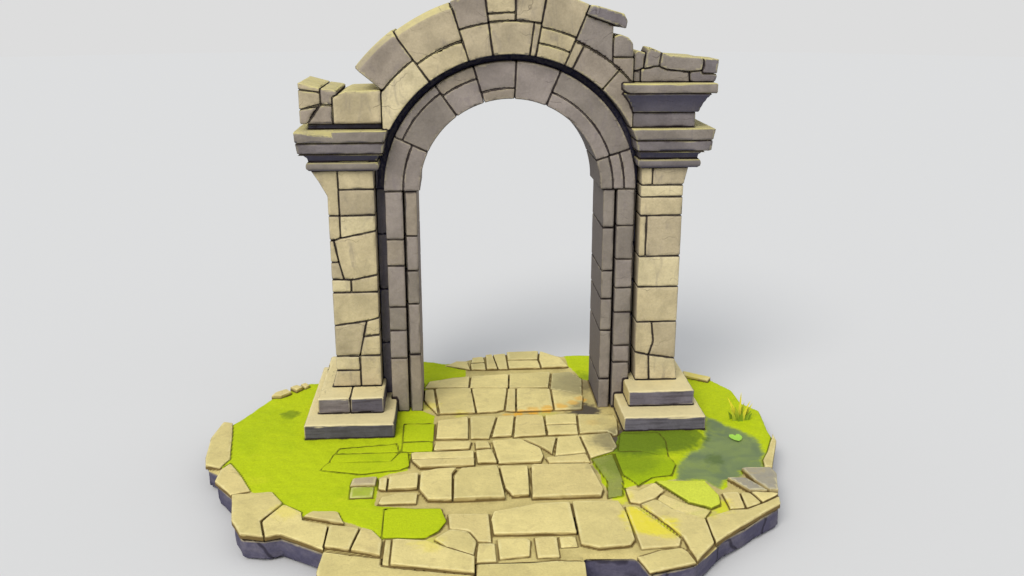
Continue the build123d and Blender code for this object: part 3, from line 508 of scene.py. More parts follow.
@dataclass(frozen=True)
class GroundFinish:
    """Ground in one sheet: meadow grass, sand between the slabs and the low damp ground."""

    name: str
    straw: Colour = srgb(216, 218, 50)
    soil_and_shade: Colour = srgb(84, 84, 26)
    sand: Colour = srgb(212, 195, 130)
    wash: Colour = srgb(188, 172, 112)
    seam_and_shade: Colour = srgb(104, 84, 48)
    damp: Colour = srgb(134, 150, 92)
    film: Colour = srgb(112, 128, 92)
    algae: Colour = srgb(142, 158, 78)
    damp_shade: Colour = srgb(88, 108, 52)
    sand_shade: Colour = srgb(92, 84, 72)
    rust: Colour = srgb(236, 178, 62)
    tuft_scale: float = 60
    blade_scale: float = 240
    relief_depth: float = 0.010
    relief_strength: float = 0.5

    def material(self) -> bpy.types.Material:
        """Build the material.

        Returns:
            The ground's material.
        """
        graph = Graph(self.name)
        tufts = graph.noise(self.tuft_scale, 5, 0.75, 0.8)
        blades = graph.noise(self.blade_scale, 3, 0.7, 0, graph.stretched((1, 0.35, 1)))
        ragged = graph.times(graph.calc("SUBTRACT", graph.noise(26, 4, 0.7), 0.5), 0.7)
        grass = graph.span(graph.plus(graph.attribute("grass"), ragged), 0.35, 0.6)
        damp = graph.span(graph.plus(graph.attribute("damp"), ragged), 0.25, 0.75)
        colour = graph.mix(grass, self.bare(graph), self.turf(graph, tufts, blades))
        colour = graph.mix(damp, colour, self.low(graph))
        # Near masonry: dark seams with painted contact shade.
        near = graph.plus(graph.attribute("near"), graph.times(ragged, 0.3))
        seam_and_shade = graph.span(near, 0.15, 0.75, 0, 0.85)
        colour = graph.mix(seam_and_shade, colour, graph.mix(grass, self.seam_and_shade, self.soil_and_shade))
        height = graph.plus(graph.times(tufts, 0.6), graph.times(blades, 0.4))
        roughness = graph.calc("SUBTRACT", graph.span(blades, 0.2, 0.8, 0.84, 0.96), graph.times(damp, 0.2))
        normal = graph.relief(height, self.relief_depth, self.relief_strength)
        return graph.finish(colour, roughness, normal, specular=0.08)

    def turf(self, graph: Graph, tufts: Socket, blades: Socket) -> Socket:
        """Colour of the grass, mossy and dry in patches, with painted shadow patches and painted shade on its steep
        sides.

        Args:
            graph: Tree of the material.
            tufts: Cloud of tufts.
            blades: Fine cloud of blades.

        Returns:
            The colour.
        """
        broad = graph.noise(2.4, 4, 0.55, 0.6)
        dry = graph.noise(3.1, 4, 0.6, 0.3, graph.stretched((1, 1.6, 1)))
        colour = graph.attribute("tint", colour=True)
        colour = graph.mix(graph.span(broad, 0.45, 0.7, 0, 0.4), colour, Tint.MOSS.value)
        colour = graph.mix(graph.span(dry, 0.55, 0.75, 0, 0.35), colour, self.straw)
        colour = graph.mix(graph.attribute("shade"), colour, Tint.SHADED_TURF.value)
        colour = graph.shade(colour, graph.vary(tufts, 0.88, 1.06))
        colour = graph.shade(colour, graph.vary(blades, 0.93, 1.05))
        # Steep sides of the turf: dark earth with painted shade.
        return graph.mix(graph.span(graph.facing("Z"), 0.15, 0.8, 0.75, 0), colour, self.soil_and_shade)

    def bare(self, graph: Graph) -> Socket:
        """Colour of the sand between the slabs, with its staining and painted shadow.

        Args:
            graph: Tree of the material.

        Returns:
            The colour.
        """
        colour = graph.mix(graph.span(graph.noise(5, 5, 0.65), 0.35, 0.7), self.sand, self.wash)
        colour = graph.shade(colour, graph.vary(graph.noise(90, 5, 0.7), 0.9, 1.06))
        colour = graph.mix(graph.attribute("shade"), colour, self.sand_shade)
        colour = graph.mix(graph.attribute("lush"), colour, self.straw)
        return graph.mix(graph.attribute("rust"), colour, self.rust)

    def low(self, graph: Graph) -> Socket:
        """Colour of the low damp ground, with films of algae and painted shadow.

        Args:
            graph: Tree of the material.

        Returns:
            The colour.
        """
        colour = graph.mix(graph.span(graph.noise(3.2, 4, 0.55, 1.1), 0.35, 0.65), self.damp, self.film)
        colour = graph.mix(graph.span(graph.noise(7, 5, 0.6, 0.4), 0.5, 0.72, 0, 0.55), colour, self.algae)
        return graph.mix(graph.attribute("shade"), colour, self.damp_shade)


@dataclass(frozen=True)
class RockFinish:
    """Living rock: purple-grey broken sides, a pale upper rim and dark earth in the crevices."""

    name: str
    side: Colour = srgb(82, 79, 100)
    rim: Colour = srgb(196, 182, 140)
    earth: Colour = srgb(70, 60, 44)
    crack: Colour = srgb(40, 36, 48)
    bed_scale: float = 3.5
    grain_scale: float = 46
    crack_scale: float = 2.2
    rim_foot: float = 0.142
    rim_top: float = 0.162
    relief_depth: float = 0.03
    relief_strength: float = 0.6

    def material(self) -> bpy.types.Material:
        """Build the material.

        Returns:
            The rock's material.
        """
        graph = Graph(self.name)
        beds = graph.noise(self.bed_scale, 5, 0.6, 0.6, graph.stretched((1, 1, 3)))
        colour = graph.mix(graph.span(beds, 0.4, 0.75), self.side, Tint.DUSK.value)
        grain = graph.noise(self.grain_scale, 5, 0.7)
        colour = graph.shade(colour, graph.vary(grain, 0.86, 1.1))
        lines = graph.span(graph.cells(self.crack_scale, graph.warped(0.25, 2.5)), 0.006, 0.03, 1, 0)
        colour = graph.mix(graph.times(lines, 0.75), colour, self.crack)
        level = graph.plus(graph.along("Z"), graph.times(graph.noise(8, 3), 0.03))
        colour = graph.mix(graph.span(level, self.rim_foot, self.rim_top, 0, 0.75), colour, self.rim)
        colour = graph.mix(graph.span(graph.facing("Z"), 0.5, 0.85), colour, self.earth)
        height = graph.calc("SUBTRACT", graph.noise(9, 6, 0.65), graph.times(lines, 0.5))
        normal = graph.relief(height, self.relief_depth, self.relief_strength)
        return graph.finish(colour, graph.span(grain, 0.2, 0.8, 0.78, 0.95), normal)


@dataclass(frozen=True)
class LeafFinish:
    """Blades and leaves: yellow-green, darker at the root, with fine ribs."""

    name: str
    root: Colour = srgb(132, 158, 40)
    tip: Colour = srgb(240, 226, 66)
    leaf: Colour = srgb(166, 218, 84)

    def material(self) -> bpy.types.Material:
        """Build the material.

        Returns:
            The leaf's material.
        """
        graph = Graph(self.name)
        colour = graph.mix(graph.span(graph.attribute("rise"), 0.0, 0.9), self.root, self.tip)
        colour = graph.mix(graph.span(graph.attribute("rise"), -0.3, -0.1, 1, 0), colour, self.leaf)
        ribs = graph.noise(160, 2, 0.5, 0, graph.stretched((1, 1, 0.1)))
        colour = graph.shade(colour, graph.vary(ribs, 0.82, 1.1))
        return graph.finish(colour, graph.span(ribs, 0.2, 0.8, 0.5, 0.7), graph.relief(ribs, 0.002, 0.4))


@dataclass(frozen=True)
class PatchEdge:
    """How the edges of the stained patches and painted shadow patches wander and fade."""

    sway: float = 0.06
    sway_rate: float = 9
    fray: float = 0.05
    fray_rate: float = 37
    calm_reach: float = 9
    outer: float = 1.25
    fade: float = 0.5


PATCH_EDGE = PatchEdge()


class StainAndShade(Enum):
    """Patches on the ground, of staining and of painted shadow: place in plan, reach in metres and strength of each
    spot.
    """

    # SHADE is mostly painted shadow cast by the right pier and jamb; a few small spots are dark tufts.
    SHADE = ((0.84, -0.95, 0.27, 1.0), (0.78, -1.30, 0.20, 0.5), (1.12, -0.90, 0.24, 1.0),
             (1.30, -0.86, 0.12, 0.9), (0.60, -0.34, 0.12, 1.0), (0.52, 0.10, 0.16, 0.5), (0.62, 0.22, 0.2, 0.6),
             (0.70, -0.62, 0.07, 0.3), (-1.73, -0.31, 0.07, 0.7), (1.40, -1.24, 0.07, 0.6), (0.52, -1.38, 0.06, 0.4))
    LUSH = ((0.77, -2.16, 0.13, 1.0), (0.70, -2.02, 0.10, 1.0), (0.86, -2.25, 0.07, 0.6), (1.12, -2.0, 0.09, 0.6),
            (1.24, -1.93, 0.09, 0.9), (0.64, -1.79, 0.07, 0.8), (1.62, 0.26, 0.09, 0.5), (-0.66, -0.22, 0.08, 0.5),
            (-0.40, -0.40, 0.05, 0.4), (-1.52, -1.83, 0.09, 0.4), (-0.60, -2.28, 0.09, 0.4), (0.28, -0.41, 0.07, 0.3))
    RUST = ((0.06, -0.385, 0.045, 0.9), (0.17, -0.36, 0.05, 0.9), (0.29, -0.33, 0.05, 1.0), (0.40, -0.29, 0.05, 0.9),
            (0.50, -0.23, 0.04, 0.8), (0.58, -0.15, 0.04, 0.7), (-0.04, -0.40, 0.03, 0.6), (0.60, -0.62, 0.05, 0.2))

    def at(self, place: Vector) -> float:
        """Share of the patch at a place on the ground.

        Args:
            place: The place, in metres.

        Returns:
            The share, from 0 to 1.
        """
        edge = PATCH_EDGE
        total = 0.0
        ragged = edge.sway * noise.noise(place * edge.sway_rate) + edge.fray * noise.noise(place * edge.fray_rate)
        for x, y, reach, depth in self.value:
            distance = math.hypot(place.x - x, place.y - y) + ragged * min(1.0, reach * edge.calm_reach)
            share = (reach * edge.outer - distance) / (reach * edge.fade)
            total = max(total, depth * max(0.0, min(1.0, share)))
        return total


def stain_and_shade_layers(work: bmesh.types.BMesh) -> dict[StainAndShade, bmesh.types.BMLayerItem]:
    """Layer of a mesh for the share of each kind of staining and of the painted shadow."""
    return {patch: work.verts.layers.float.new(patch.name.lower()) for patch in StainAndShade}


def hand_over(mesh: bpy.types.Mesh, finish: bpy.types.Material, node: str) -> bpy.types.Object:
    """Make a mesh the visible piece of a node.

    Args:
        mesh: The finished mesh, whose name the piece takes.
        finish: Material of the piece.
        node: Node of the frame that the piece stands for.

    Returns:
        The piece, which rides on the body and replaces the node.
    """
    mesh.materials.append(finish)
    piece = bpy.data.objects.new(mesh.name, mesh)
    bpy.context.scene.collection.objects.link(piece)
    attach(piece, "root")
    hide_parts(node)
    log.info("%s: %d faces", piece.name, len(mesh.polygons))
    return piece


@dataclass
class Stone:
    """One closed solid of a frame node: its corners, its faces and its box."""

    node: str
    index: int
    corners: list[Vector]
    faces: list[tuple[int, ...]]
    low: Vector = field(init=False)
    high: Vector = field(init=False)

    def __post_init__(self) -> None:
        """Measure the stone's box."""
        self.low = Vector([min(corner[axis] for corner in self.corners) for axis in range(3)])
        self.high = Vector([max(corner[axis] for corner in self.corners) for axis in range(3)])

    def near(self, other: "Stone", margin: float) -> bool:
        """Whether another stone's box comes within a margin of this one's."""
        return all(self.low[axis] - margin < other.high[axis] and other.low[axis] - margin < self.high[axis]
                   for axis in range(3))


class StoneYard:
    """All the closed solids of the frame, with the neighbours that each of them touches."""

    def __init__(self) -> None:
        """Split every node of the frame into its closed solids."""
        self.stones: dict[str, list[Stone]] = {}
        for name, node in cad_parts.items():
            self.stones[name] = self.closed_solids(name, node.data)

    @staticmethod
    def closed_solids(name: str, mesh: bpy.types.Mesh) -> list[Stone]:
        """Split a mesh whose faces come solid by solid.

        Args:
            name: Name of the node.
            mesh: Mesh of the node.

        Returns:
            One stone for each closed solid, in the mesh's order.
        """
        stones: list[Stone] = []
        keys: dict[tuple[float, ...], int] = {}
        faces: list[tuple[int, ...]] = []
        open_edges: set[tuple[int, int]] = set()
        for polygon in mesh.polygons:
            ring = []
            for vertex in polygon.vertices:
                key = tuple(round(value, 5) for value in mesh.vertices[vertex].co)
                ring.append(keys.setdefault(key, len(keys)))
            faces.append(tuple(ring))
            for first, second in zip(ring, ring[1:] + ring[:1]):
                open_edges ^= {(min(first, second), max(first, second))}
            if not open_edges:
                stones.append(Stone(name, len(stones), [Vector(key) for key in keys], faces))
                keys, faces = {}, []
        return stones

    def neighbours(self, stone: Stone, margin: float) -> BVHTree | None:
        """Surfaces of the stones round one stone.

        Args:
            stone: The stone in the middle.
            margin: How far away a neighbour may be, in metres.

        Returns:
            A search tree of the neighbours' faces, or None where the stone stands alone.
        """
        corners: list[Vector] = []
        faces: list[tuple[int, ...]] = []
        for group in self.stones.values():
            for other in group:
                if other is not stone and stone.near(other, margin):
                    start = len(corners)
                    corners.extend(other.corners)
                    faces.extend(tuple(start + corner for corner in face) for face in other.faces)
        return BVHTree.FromPolygons(corners, faces) if faces else None


@dataclass(frozen=True)
class Tooling:
    """How finely a stone's surface is cut, and how far wear eats into it, in metres."""

    spacing: float = 0.017
    coarse: float = 0.09
    inset: float = 0.011
    relief: float = 0.0022
    relief_scale: float = 9.0
    wear: float = 0.005
    wear_scale: float = 16.0
    chip: float = 0.012
    chip_scale: float = 7.0
    chip_share: float = 0.3
    softening: int = 2
    # Reach of the dark joints and their painted contact shade.
    joint_reach: float = 0.0115
    ground_line: float = 0.0


@dataclass
class Carver:
    """Turns the frame's plain stones into worn ones, each within its own solid."""

    yard: StoneYard
    reach: float = 0.03
    bedded: float = 0.0025
    arris_angle: float = 0.42
    flat_angle: float = 0.01
    foot_shadow: float = 0.012
    foot_fade: float = 0.010
    stained_and_shaded_below: float = 0.26
    wander: tuple[float, float, float] = (3.17, 7.31, 1.93)
    wander_range: float = 50

    @staticmethod
    def slice_evenly(work: bmesh.types.BMesh, faces: list[bmesh.types.BMFace], spacing: float,
                     inset: float) -> None:
        """Cut faces with evenly spaced planes along the three axes.

        Args:
            work: Mesh to cut.
            faces: Faces to cut.
            spacing: Distance between planes.
            inset: Distance that the first and last plane keep from the ends.
        """
        merge = 0.0015
        mark = work.faces.layers.int["chosen"]
        for face in work.faces:
            face[mark] = 0
        for face in faces:
            face[mark] = 1
        corners = [vertex.co for face in faces for vertex in face.verts]
        if not corners:
            return
        for axis in range(3):
            low = min(corner[axis] for corner in corners) + inset
            high = max(corner[axis] for corner in corners) - inset
            if high - low < spacing:
                continue
            count = max(1, round((high - low) / spacing))
            direction = Vector([1.0 if axis == other else 0.0 for other in range(3)])
            for step in range(count + 1):
                chosen = [face for face in work.faces if face[mark]]
                edges = {edge for face in chosen for edge in face.edges}
                point = direction * (low + (high - low) * step / count)
                bmesh.ops.bisect_plane(work, geom=[*chosen, *edges], dist=merge, plane_co=point, plane_no=direction)

    def carve(self, stone: Stone, tooling: Tooling, tint: Colour, seed: int) -> bmesh.types.BMesh:
        """Cut, soften and wear one stone.

        Args:
            stone: The plain stone.
            tooling: How finely and how far.
            tint: Body colour of the stone.
            seed: Number that sets the stone's own wear.

        Returns:
            The worn stone's mesh, with its tint, its values for dark joints and painted contact shade, and its arris
            values.
        """
        work = bmesh.new()
        work.faces.layers.int.new("chosen")
        hidden = work.faces.layers.int.new("hidden")
        joint = work.verts.layers.float.new("joint")
        arris = work.verts.layers.float.new("arris")
        patch_layers = stain_and_shade_layers(work)
        paint = work.verts.layers.float_color.new("tint")
        corners = [work.verts.new(corner) for corner in stone.corners]
        for ring in stone.faces:
            work.faces.new([corners[index] for index in ring])
        bmesh.ops.dissolve_limit(work, angle_limit=self.flat_angle, verts=work.verts[:], edges=work.edges[:])
        around = self.yard.neighbours(stone, self.reach)
        self.slice_evenly(work, work.faces[:], tooling.coarse, tooling.inset)

        def gap(point: Vector) -> float:
            """Distance from a point to the nearest neighbour, at most the carver's reach."""
            found = around.find_nearest(point, self.reach) if around else None
            return found[3] if found and found[3] is not None else self.reach

        for face in work.faces:
            touching = gap(face.calc_center_median()) < self.bedded
            face[hidden] = int(touching and all(gap(vertex.co) < self.bedded for vertex in face.verts))
        self.slice_evenly(work, [face for face in work.faces if not face[hidden]], tooling.spacing, tooling.inset)
        work.normal_update()
        for edge in work.edges:
            if len(edge.link_faces) == 2 and edge.calc_face_angle() > self.arris_angle:
                for vertex in edge.verts:
                    vertex[arris] = 1.0
        shown = [vertex for vertex in work.verts if any(not face[hidden] for face in vertex.link_faces)]
        # Dark joints and painted contact shade near neighbours, and painted shadow at the stone's foot by the ground.
        footing = min(tooling.ground_line + self.foot_shadow, stone.high.z - self.foot_fade)
        for vertex in shown:
            vertex[joint] = max(0.0, 1.0 - gap(vertex.co) / tooling.joint_reach,
                                min(1.0, (footing - vertex.co.z) / self.foot_fade))
        for vertex in work.verts:
            vertex[paint] = (*tint, 1.0)
        loose = [vertex for vertex in shown if vertex[arris] > 0.5]
        for _ in range(tooling.softening):
            bmesh.ops.smooth_vert(work, verts=loose, factor=0.5, use_axis_x=True, use_axis_y=True, use_axis_z=True)
        work.normal_update()
        offset = Vector([seed * rate % self.wander_range for rate in self.wander])
        moves = [vertex.normal * -self.worn_depth(vertex.co + offset, vertex[arris] > 0.5, tooling)
                 for vertex in shown]
        for vertex, move in zip(shown, moves):
            vertex.co += move
        # Ground-level stones take the growth and rust staining and the painted shadow patches.
        for vertex in shown:
            if vertex.co.z < self.stained_and_shaded_below:
                for patch, layer in patch_layers.items():
                    vertex[layer] = patch.at(vertex.co)
        return work

    @staticmethod
    def worn_depth(place: Vector, on_arris: bool, tooling: Tooling) -> float:
        """Depth that wear has eaten into a stone.

        Args:
            place: Where the wear is read.
            on_arris: Whether the place is on an arris, which also chips.
            tooling: How far wear eats in.

        Returns:
            The depth, in metres.
        """
        depth = tooling.relief * (0.5 + 0.5 * noise.noise(place * tooling.relief_scale))
        if on_arris:
            depth += tooling.wear * max(0.0, 0.35 + 0.65 * noise.noise(place * tooling.wear_scale))
            broken = noise.noise(place * tooling.chip_scale) - (1 - 2 * tooling.chip_share)
            depth += tooling.chip * max(0.0, min(1.0, broken * 3))
        return depth

    def piece(self, node: str, finish: bpy.types.Material, tooling: Tooling, tint_of: Callable[[Stone], Tint],
              slot: str, turfed: bool = False) -> bpy.types.Object:
        """Carve every stone of a node into one piece that stands for it.

        Args:
            node: Name of the frame's node.
            finish: Material of the piece.
            tooling: How finely and how far.
            tint_of: Gives the body colour of a stone.
            slot: Name of the material slot; not used.
            turfed: Whether grass covers the stones.

        Returns:
            The piece, which rides on the body and replaces the node.
        """
        mesh = bpy.data.meshes.new(node + "_carved")
        joined = bmesh.new()
        for stone in self.yard.stones[node]:
            seed = sum(ord(letter) for letter in node) + 31 * stone.index
            work = self.carve(stone, tooling, tint_of(stone).value, seed)
            part = bpy.data.meshes.new("part")
            work.to_mesh(part)
            work.free()
            joined.from_mesh(part)
            bpy.data.meshes.remove(part)
        for name in ("chosen", "hidden"):
            joined.faces.layers.int.remove(joined.faces.layers.int[name])
        for face in joined.faces:
            face.smooth = True
        if turfed:
            grass = joined.verts.layers.float.new("grass")
            near = joined.verts.layers.float.new("near")
            joint = joined.verts.layers.float["joint"]
            for vertex in joined.verts:
                vertex[grass] = 1.0
                vertex[near] = vertex[joint]
        joined.to_mesh(mesh)
        joined.free()
        return hand_over(mesh, finish, node)


@dataclass
class Masonry:
    """The stones of one sub-assembly: a finish, a tooling and the tints of each node's stones."""

    carver: Carver
    finish: bpy.types.Material
    slot: str
    tooling: Tooling
    tints: dict[str, Sequence[Tint]]
    turfed: bool = False

    def build(self) -> list[bpy.types.Object]:
        """Carve every node of the sub-assembly into one piece each."""
        return [self.carver.piece(node, self.finish, self.tooling, self.chooser(row), self.slot, self.turfed)
                for node, row in self.tints.items()]

    @staticmethod
    def chooser(row: Sequence[Tint]) -> Callable[[Stone], Tint]:
        """Give each stone its tint, and start again where the row ends."""
        return lambda stone: row[stone.index % len(row)]


def soft_inside(x: np.ndarray, y: np.ndarray, outline: Outline, soft: float) -> np.ndarray:
    """How far points lie inside a plan outline.

    Args:
        x: First coordinate of the points.
        y: Second coordinate of the points.
        outline: Corners of the outline.
        soft: Half of the width over which the share changes, in metres.

    Returns:
        Shares from 0, outside, to 1, inside.
    """
    inside = np.zeros(x.shape, bool)
    nearest = np.full(x.shape, 1e9)
    for (x0, y0), (x1, y1) in zip(outline, [*outline[1:], outline[0]]):
        run, rise = x1 - x0, y1 - y0
        share = np.clip(((x - x0) * run + (y - y0) * rise) / (run * run + rise * rise), 0, 1)
        nearest = np.minimum(nearest, np.hypot(x - x0 - share * run, y - y0 - share * rise))
        if y0 != y1:
            crosses = ((y0 > y) != (y1 > y)) & (x < run * (y - y0) / rise + x0)
            inside ^= crosses
    signed = np.where(inside, nearest, -nearest)
    return np.clip(0.5 + 0.5 * signed / soft, 0, 1)


@dataclass
class GroundCover:
    """Grass, sand and damp ground between the slabs, as a fine sheet that laps over the rock's edge."""

    yard: StoneYard
    spacing: float = 0.013
    turf_level: float = 0.184
    sand_level: float = 0.173
    damp_level: float = 0.172
    rock_level: float = 0.154
    lip: float = 0.03
    probe_level: float = 0.156
    masonry_foot: float = 0.3
    masonry_reach: float = 0.16
    seam_level: float = 0.17
    seam_reach: float = 0.013
    search: float = 0.05
    reach: float = 0.03
    edge_sway: float = 0.022
    edge_rate: float = 7
    meadow_fade: float = 0.02
    hollow_fade: float = 0.05
    grass_bump: float = 0.0035
    sand_bump: float = 0.001
    loose: tuple[str, ...] = ("turf_left", "turf_right", "wet_ground", "rock_base", "plants")
    left_meadow: Outline = (
        (-2.6, 1.2), (-0.40, 1.2), (-0.44, 0.78), (-0.52, 0.66), (-0.34, 0.56), (-0.36, 0.42), (-0.66, 0.30),
        (-0.70, -0.30), (-0.60, -0.40), (-0.60, -1.04), (-0.76, -1.06), (-0.78, -1.30), (-0.96, -1.42),
        (-0.96, -1.80), (-0.54, -1.86), (-0.50, -2.02), (-0.62, -2.20), (-0.90, -2.20), (-0.98, -2.08),
        (-1.14, -1.98), (-1.32, -1.94), (-1.46, -1.87), (-1.58, -1.76), (-1.70, -1.62), (-1.86, -1.50),
        (-1.97, -1.28), (-2.10, -1.16), (-2.14, -0.46), (-2.6, -0.4))
    right_meadow: Outline = (
        (0.53, 1.2), (0.57, 0.57), (0.65, 0.28), (0.70, 0.25), (0.96, 0.25), (0.96, -0.5), (0.80, -0.80),
        (0.76, -0.86), (0.70, -1.04), (0.52, -1.20), (0.56, -1.79), (0.65, -1.79), (0.69, -1.65), (0.79, -1.62),
        (1.06, -1.55), (1.24, -1.58), (1.32, -1.72), (1.40, -1.60), (1.52, -1.50), (1.74, -1.44), (1.80, -1.25),
        (1.92, -0.95), (2.6, -0.9), (2.6, 1.2))
    hollow: Outline = (
        (1.50, -0.55), (1.60, -0.66), (1.70, -0.83), (1.785, -0.965), (1.775, -1.195), (1.705, -1.31), (1.685, -1.44),
        (1.515, -1.45), (1.50, -1.54), (1.385, -1.565), (1.30, -1.70), (1.23, -1.59), (1.06, -1.55), (1.10, -1.36),
        (1.22, -1.17), (1.33, -1.10), (1.43, -0.85))

    def build(self) -> list[bpy.types.Object]:
        """Build the sheet as the left turf, the right turf and the damp hollow.

        Returns:
            The three pieces.
        """
        x, y = self.grid()
        warp = self.edge_sway * np.array([noise.noise((u * self.edge_rate, v * self.edge_rate, 0.3))
                                          for u, v in zip(x.ravel(), y.ravel())]).reshape(x.shape)
        grass = np.maximum(soft_inside(x + warp, y - warp, self.left_meadow, self.meadow_fade),
                           soft_inside(x + warp, y - warp, self.right_meadow, self.meadow_fade))
        damp = soft_inside(x + warp, y + warp, self.hollow, self.hollow_fade)
        places, shown = self.survey(x, y, grass, damp)
        cells: dict[str, list[tuple[Cell, ...]]] = {"turf_left": [], "turf_right": [], "wet_ground": []}
        for i in range(x.shape[0] - 1):
            for j in range(x.shape[1] - 1):
                corners = ((i, j), (i + 1, j), (i + 1, j + 1), (i, j + 1))
                if all(corner in places for corner in corners) and any(shown[corner] for corner in corners):
                    turf = "turf_left" if x[i, j] < 0 else "turf_right"
                    cells["wet_ground" if damp[i, j] > 0.5 else turf].append(corners)
        return [self.sheet(node, chosen, places, grass, damp) for node, chosen in cells.items()]

    def grid(self) -> tuple[np.ndarray, np.ndarray]:
        """Lay an even grid over the rock.

        Returns:
            The two plan coordinates of every grid corner.
        """
        rock = self.yard.stones["rock_base"][0]
        margin = self.spacing * 1.5
        columns = int((rock.high.x - rock.low.x) / self.spacing) + 4
        rows = int((rock.high.y - rock.low.y) / self.spacing) + 4
        return np.meshgrid(rock.low.x - margin + self.spacing * np.arange(columns),
                           rock.low.y - margin + self.spacing * np.arange(rows), indexing="ij")

    def survey(self, x: np.ndarray, y: np.ndarray, grass: np.ndarray,
               damp: np.ndarray) -> tuple[dict[Cell, tuple[Vector, float]], np.ndarray]:
        """Find the level of the ground and the masonry that stands on it.

        Args:
            x: First plan coordinate of the grid corners.
            y: Second plan coordinate of the grid corners.
            grass: Share of grass at each corner.
            damp: Share of damp ground at each corner.

        Returns:
            Each corner's position with how near it is to masonry, and whether each corner is open to the sky.
        """
        masonry = self.tree([stone for name, group in self.yard.stones.items() if name not in self.loose
                             for stone in group if stone.low.z < self.masonry_foot])
        rock = self.yard.stones["rock_base"][0]
        shore, whole = self.tree([rock], upright=True), self.tree([rock])
        up = Vector((0, 0, 1))
        places: dict[Cell, tuple[Vector, float]] = {}
        shown = np.zeros(x.shape, bool)
        for corner in np.ndindex(x.shape):
            point = Vector((x[corner], y[corner], self.probe_level))
            edge = shore.find_nearest(point, self.search)
            if whole.ray_cast(point + up, -up)[0] is None:
                if edge[0] is not None and edge[3] < self.spacing * 1.5:
                    places[corner] = (Vector((edge[0].x, edge[0].y, self.rock_level - 0.004)), 0.0)
                continue
            shown[corner] = masonry.ray_cast(point, up, self.masonry_reach)[0] is None
            level = self.level(point, float(grass[corner]), float(damp[corner]))
            if edge[0] is not None and edge[3] < self.lip:
                level -= (level - self.rock_level + 0.002) * (1 - edge[3] / self.lip) ** 2
            # Nearness to masonry, for dark seams with painted contact shade.
            found = masonry.find_nearest(Vector((point.x, point.y, self.seam_level)), self.reach)
            near = max(0.0, 1 - found[3] / self.seam_reach) if found[0] is not None else 0.0
            places[corner] = (Vector((point.x, point.y, level)), near)
        return places, shown

    def level(self, point: Vector, grass: float, damp: float) -> float:
        """Level of the ground away from the shore.

        Args:
            point: Place on the ground.
            grass: Share of grass there.
            damp: Share of damp ground there.

        Returns:
            The level, in metres.
        """
        level = self.sand_level + (self.turf_level - self.sand_level) * grass
        level += (self.damp_level - level) * damp
        rough = self.grass_bump * (grass * (1 - damp)) + self.sand_bump
        return level + (rough * noise.noise(point * 16) + 0.6 * rough * noise.noise(point * 43))

    @staticmethod
    def tree(stones: Sequence[Stone], upright: bool = False) -> BVHTree:
        """Search tree over the faces of some stones.

        Args:
            stones: The stones.
            upright: Whether to keep their upright faces only.

        Returns:
            The search tree.
        """
        corners: list[Vector] = []
        faces: list[tuple[int, ...]] = []
        for stone in stones:
            start = len(corners)
            corners.extend(stone.corners)
            for face in stone.faces:
                a, b, c = (stone.corners[index] for index in face[:3])
                if not upright or abs((b - a).cross(c - a).normalized().z) < 0.3:
                    faces.append(tuple(start + index for index in face))
        return BVHTree.FromPolygons(corners, faces)

    @staticmethod
    def sheet(node: str, cells: Sequence[tuple[Cell, ...]], places: dict[Cell, tuple[Vector, float]],
              grass: np.ndarray, damp: np.ndarray) -> bpy.types.Object:
        """Make one piece of the sheet.

        Args:
            node: Node of the frame that the piece stands for.
            cells: Grid corners of each of its faces.
            places: Position of each grid corner and how near it is to masonry.
            grass: Share of grass at each grid corner.
            damp: Share of damp ground at each grid corner.

        Returns:
            The piece.
        """
        work = bmesh.new()
        layers = {name: work.verts.layers.float.new(name) for name in ("grass", "damp", "near")}
        patch_layers = stain_and_shade_layers(work)
        paint = work.verts.layers.float_color.new("tint")
        made: dict[Cell, bmesh.types.BMVert] = {}
        for corners in cells:
            ring = []
            for corner in corners:
                if corner not in made:
                    place, near = places[corner]
                    vertex = work.verts.new(place)
                    vertex[layers["grass"]] = float(grass[corner])
                    vertex[layers["damp"]] = float(damp[corner])
                    vertex[layers["near"]] = near
                    # Growth and rust staining and painted shadow patches.
                    for patch, layer in patch_layers.items():
                        vertex[layer] = patch.at(place)
                    vertex[paint] = (*Tint.MEADOW.value, 1.0)
                    made[corner] = vertex
                ring.append(made[corner])
            work.faces.new(ring).smooth = True
        mesh = bpy.data.meshes.new(node + "_cover")
        work.to_mesh(mesh)
        work.free()
        finish = GroundFinish(node + "_finish").material()
        return hand_over(mesh, finish, node)


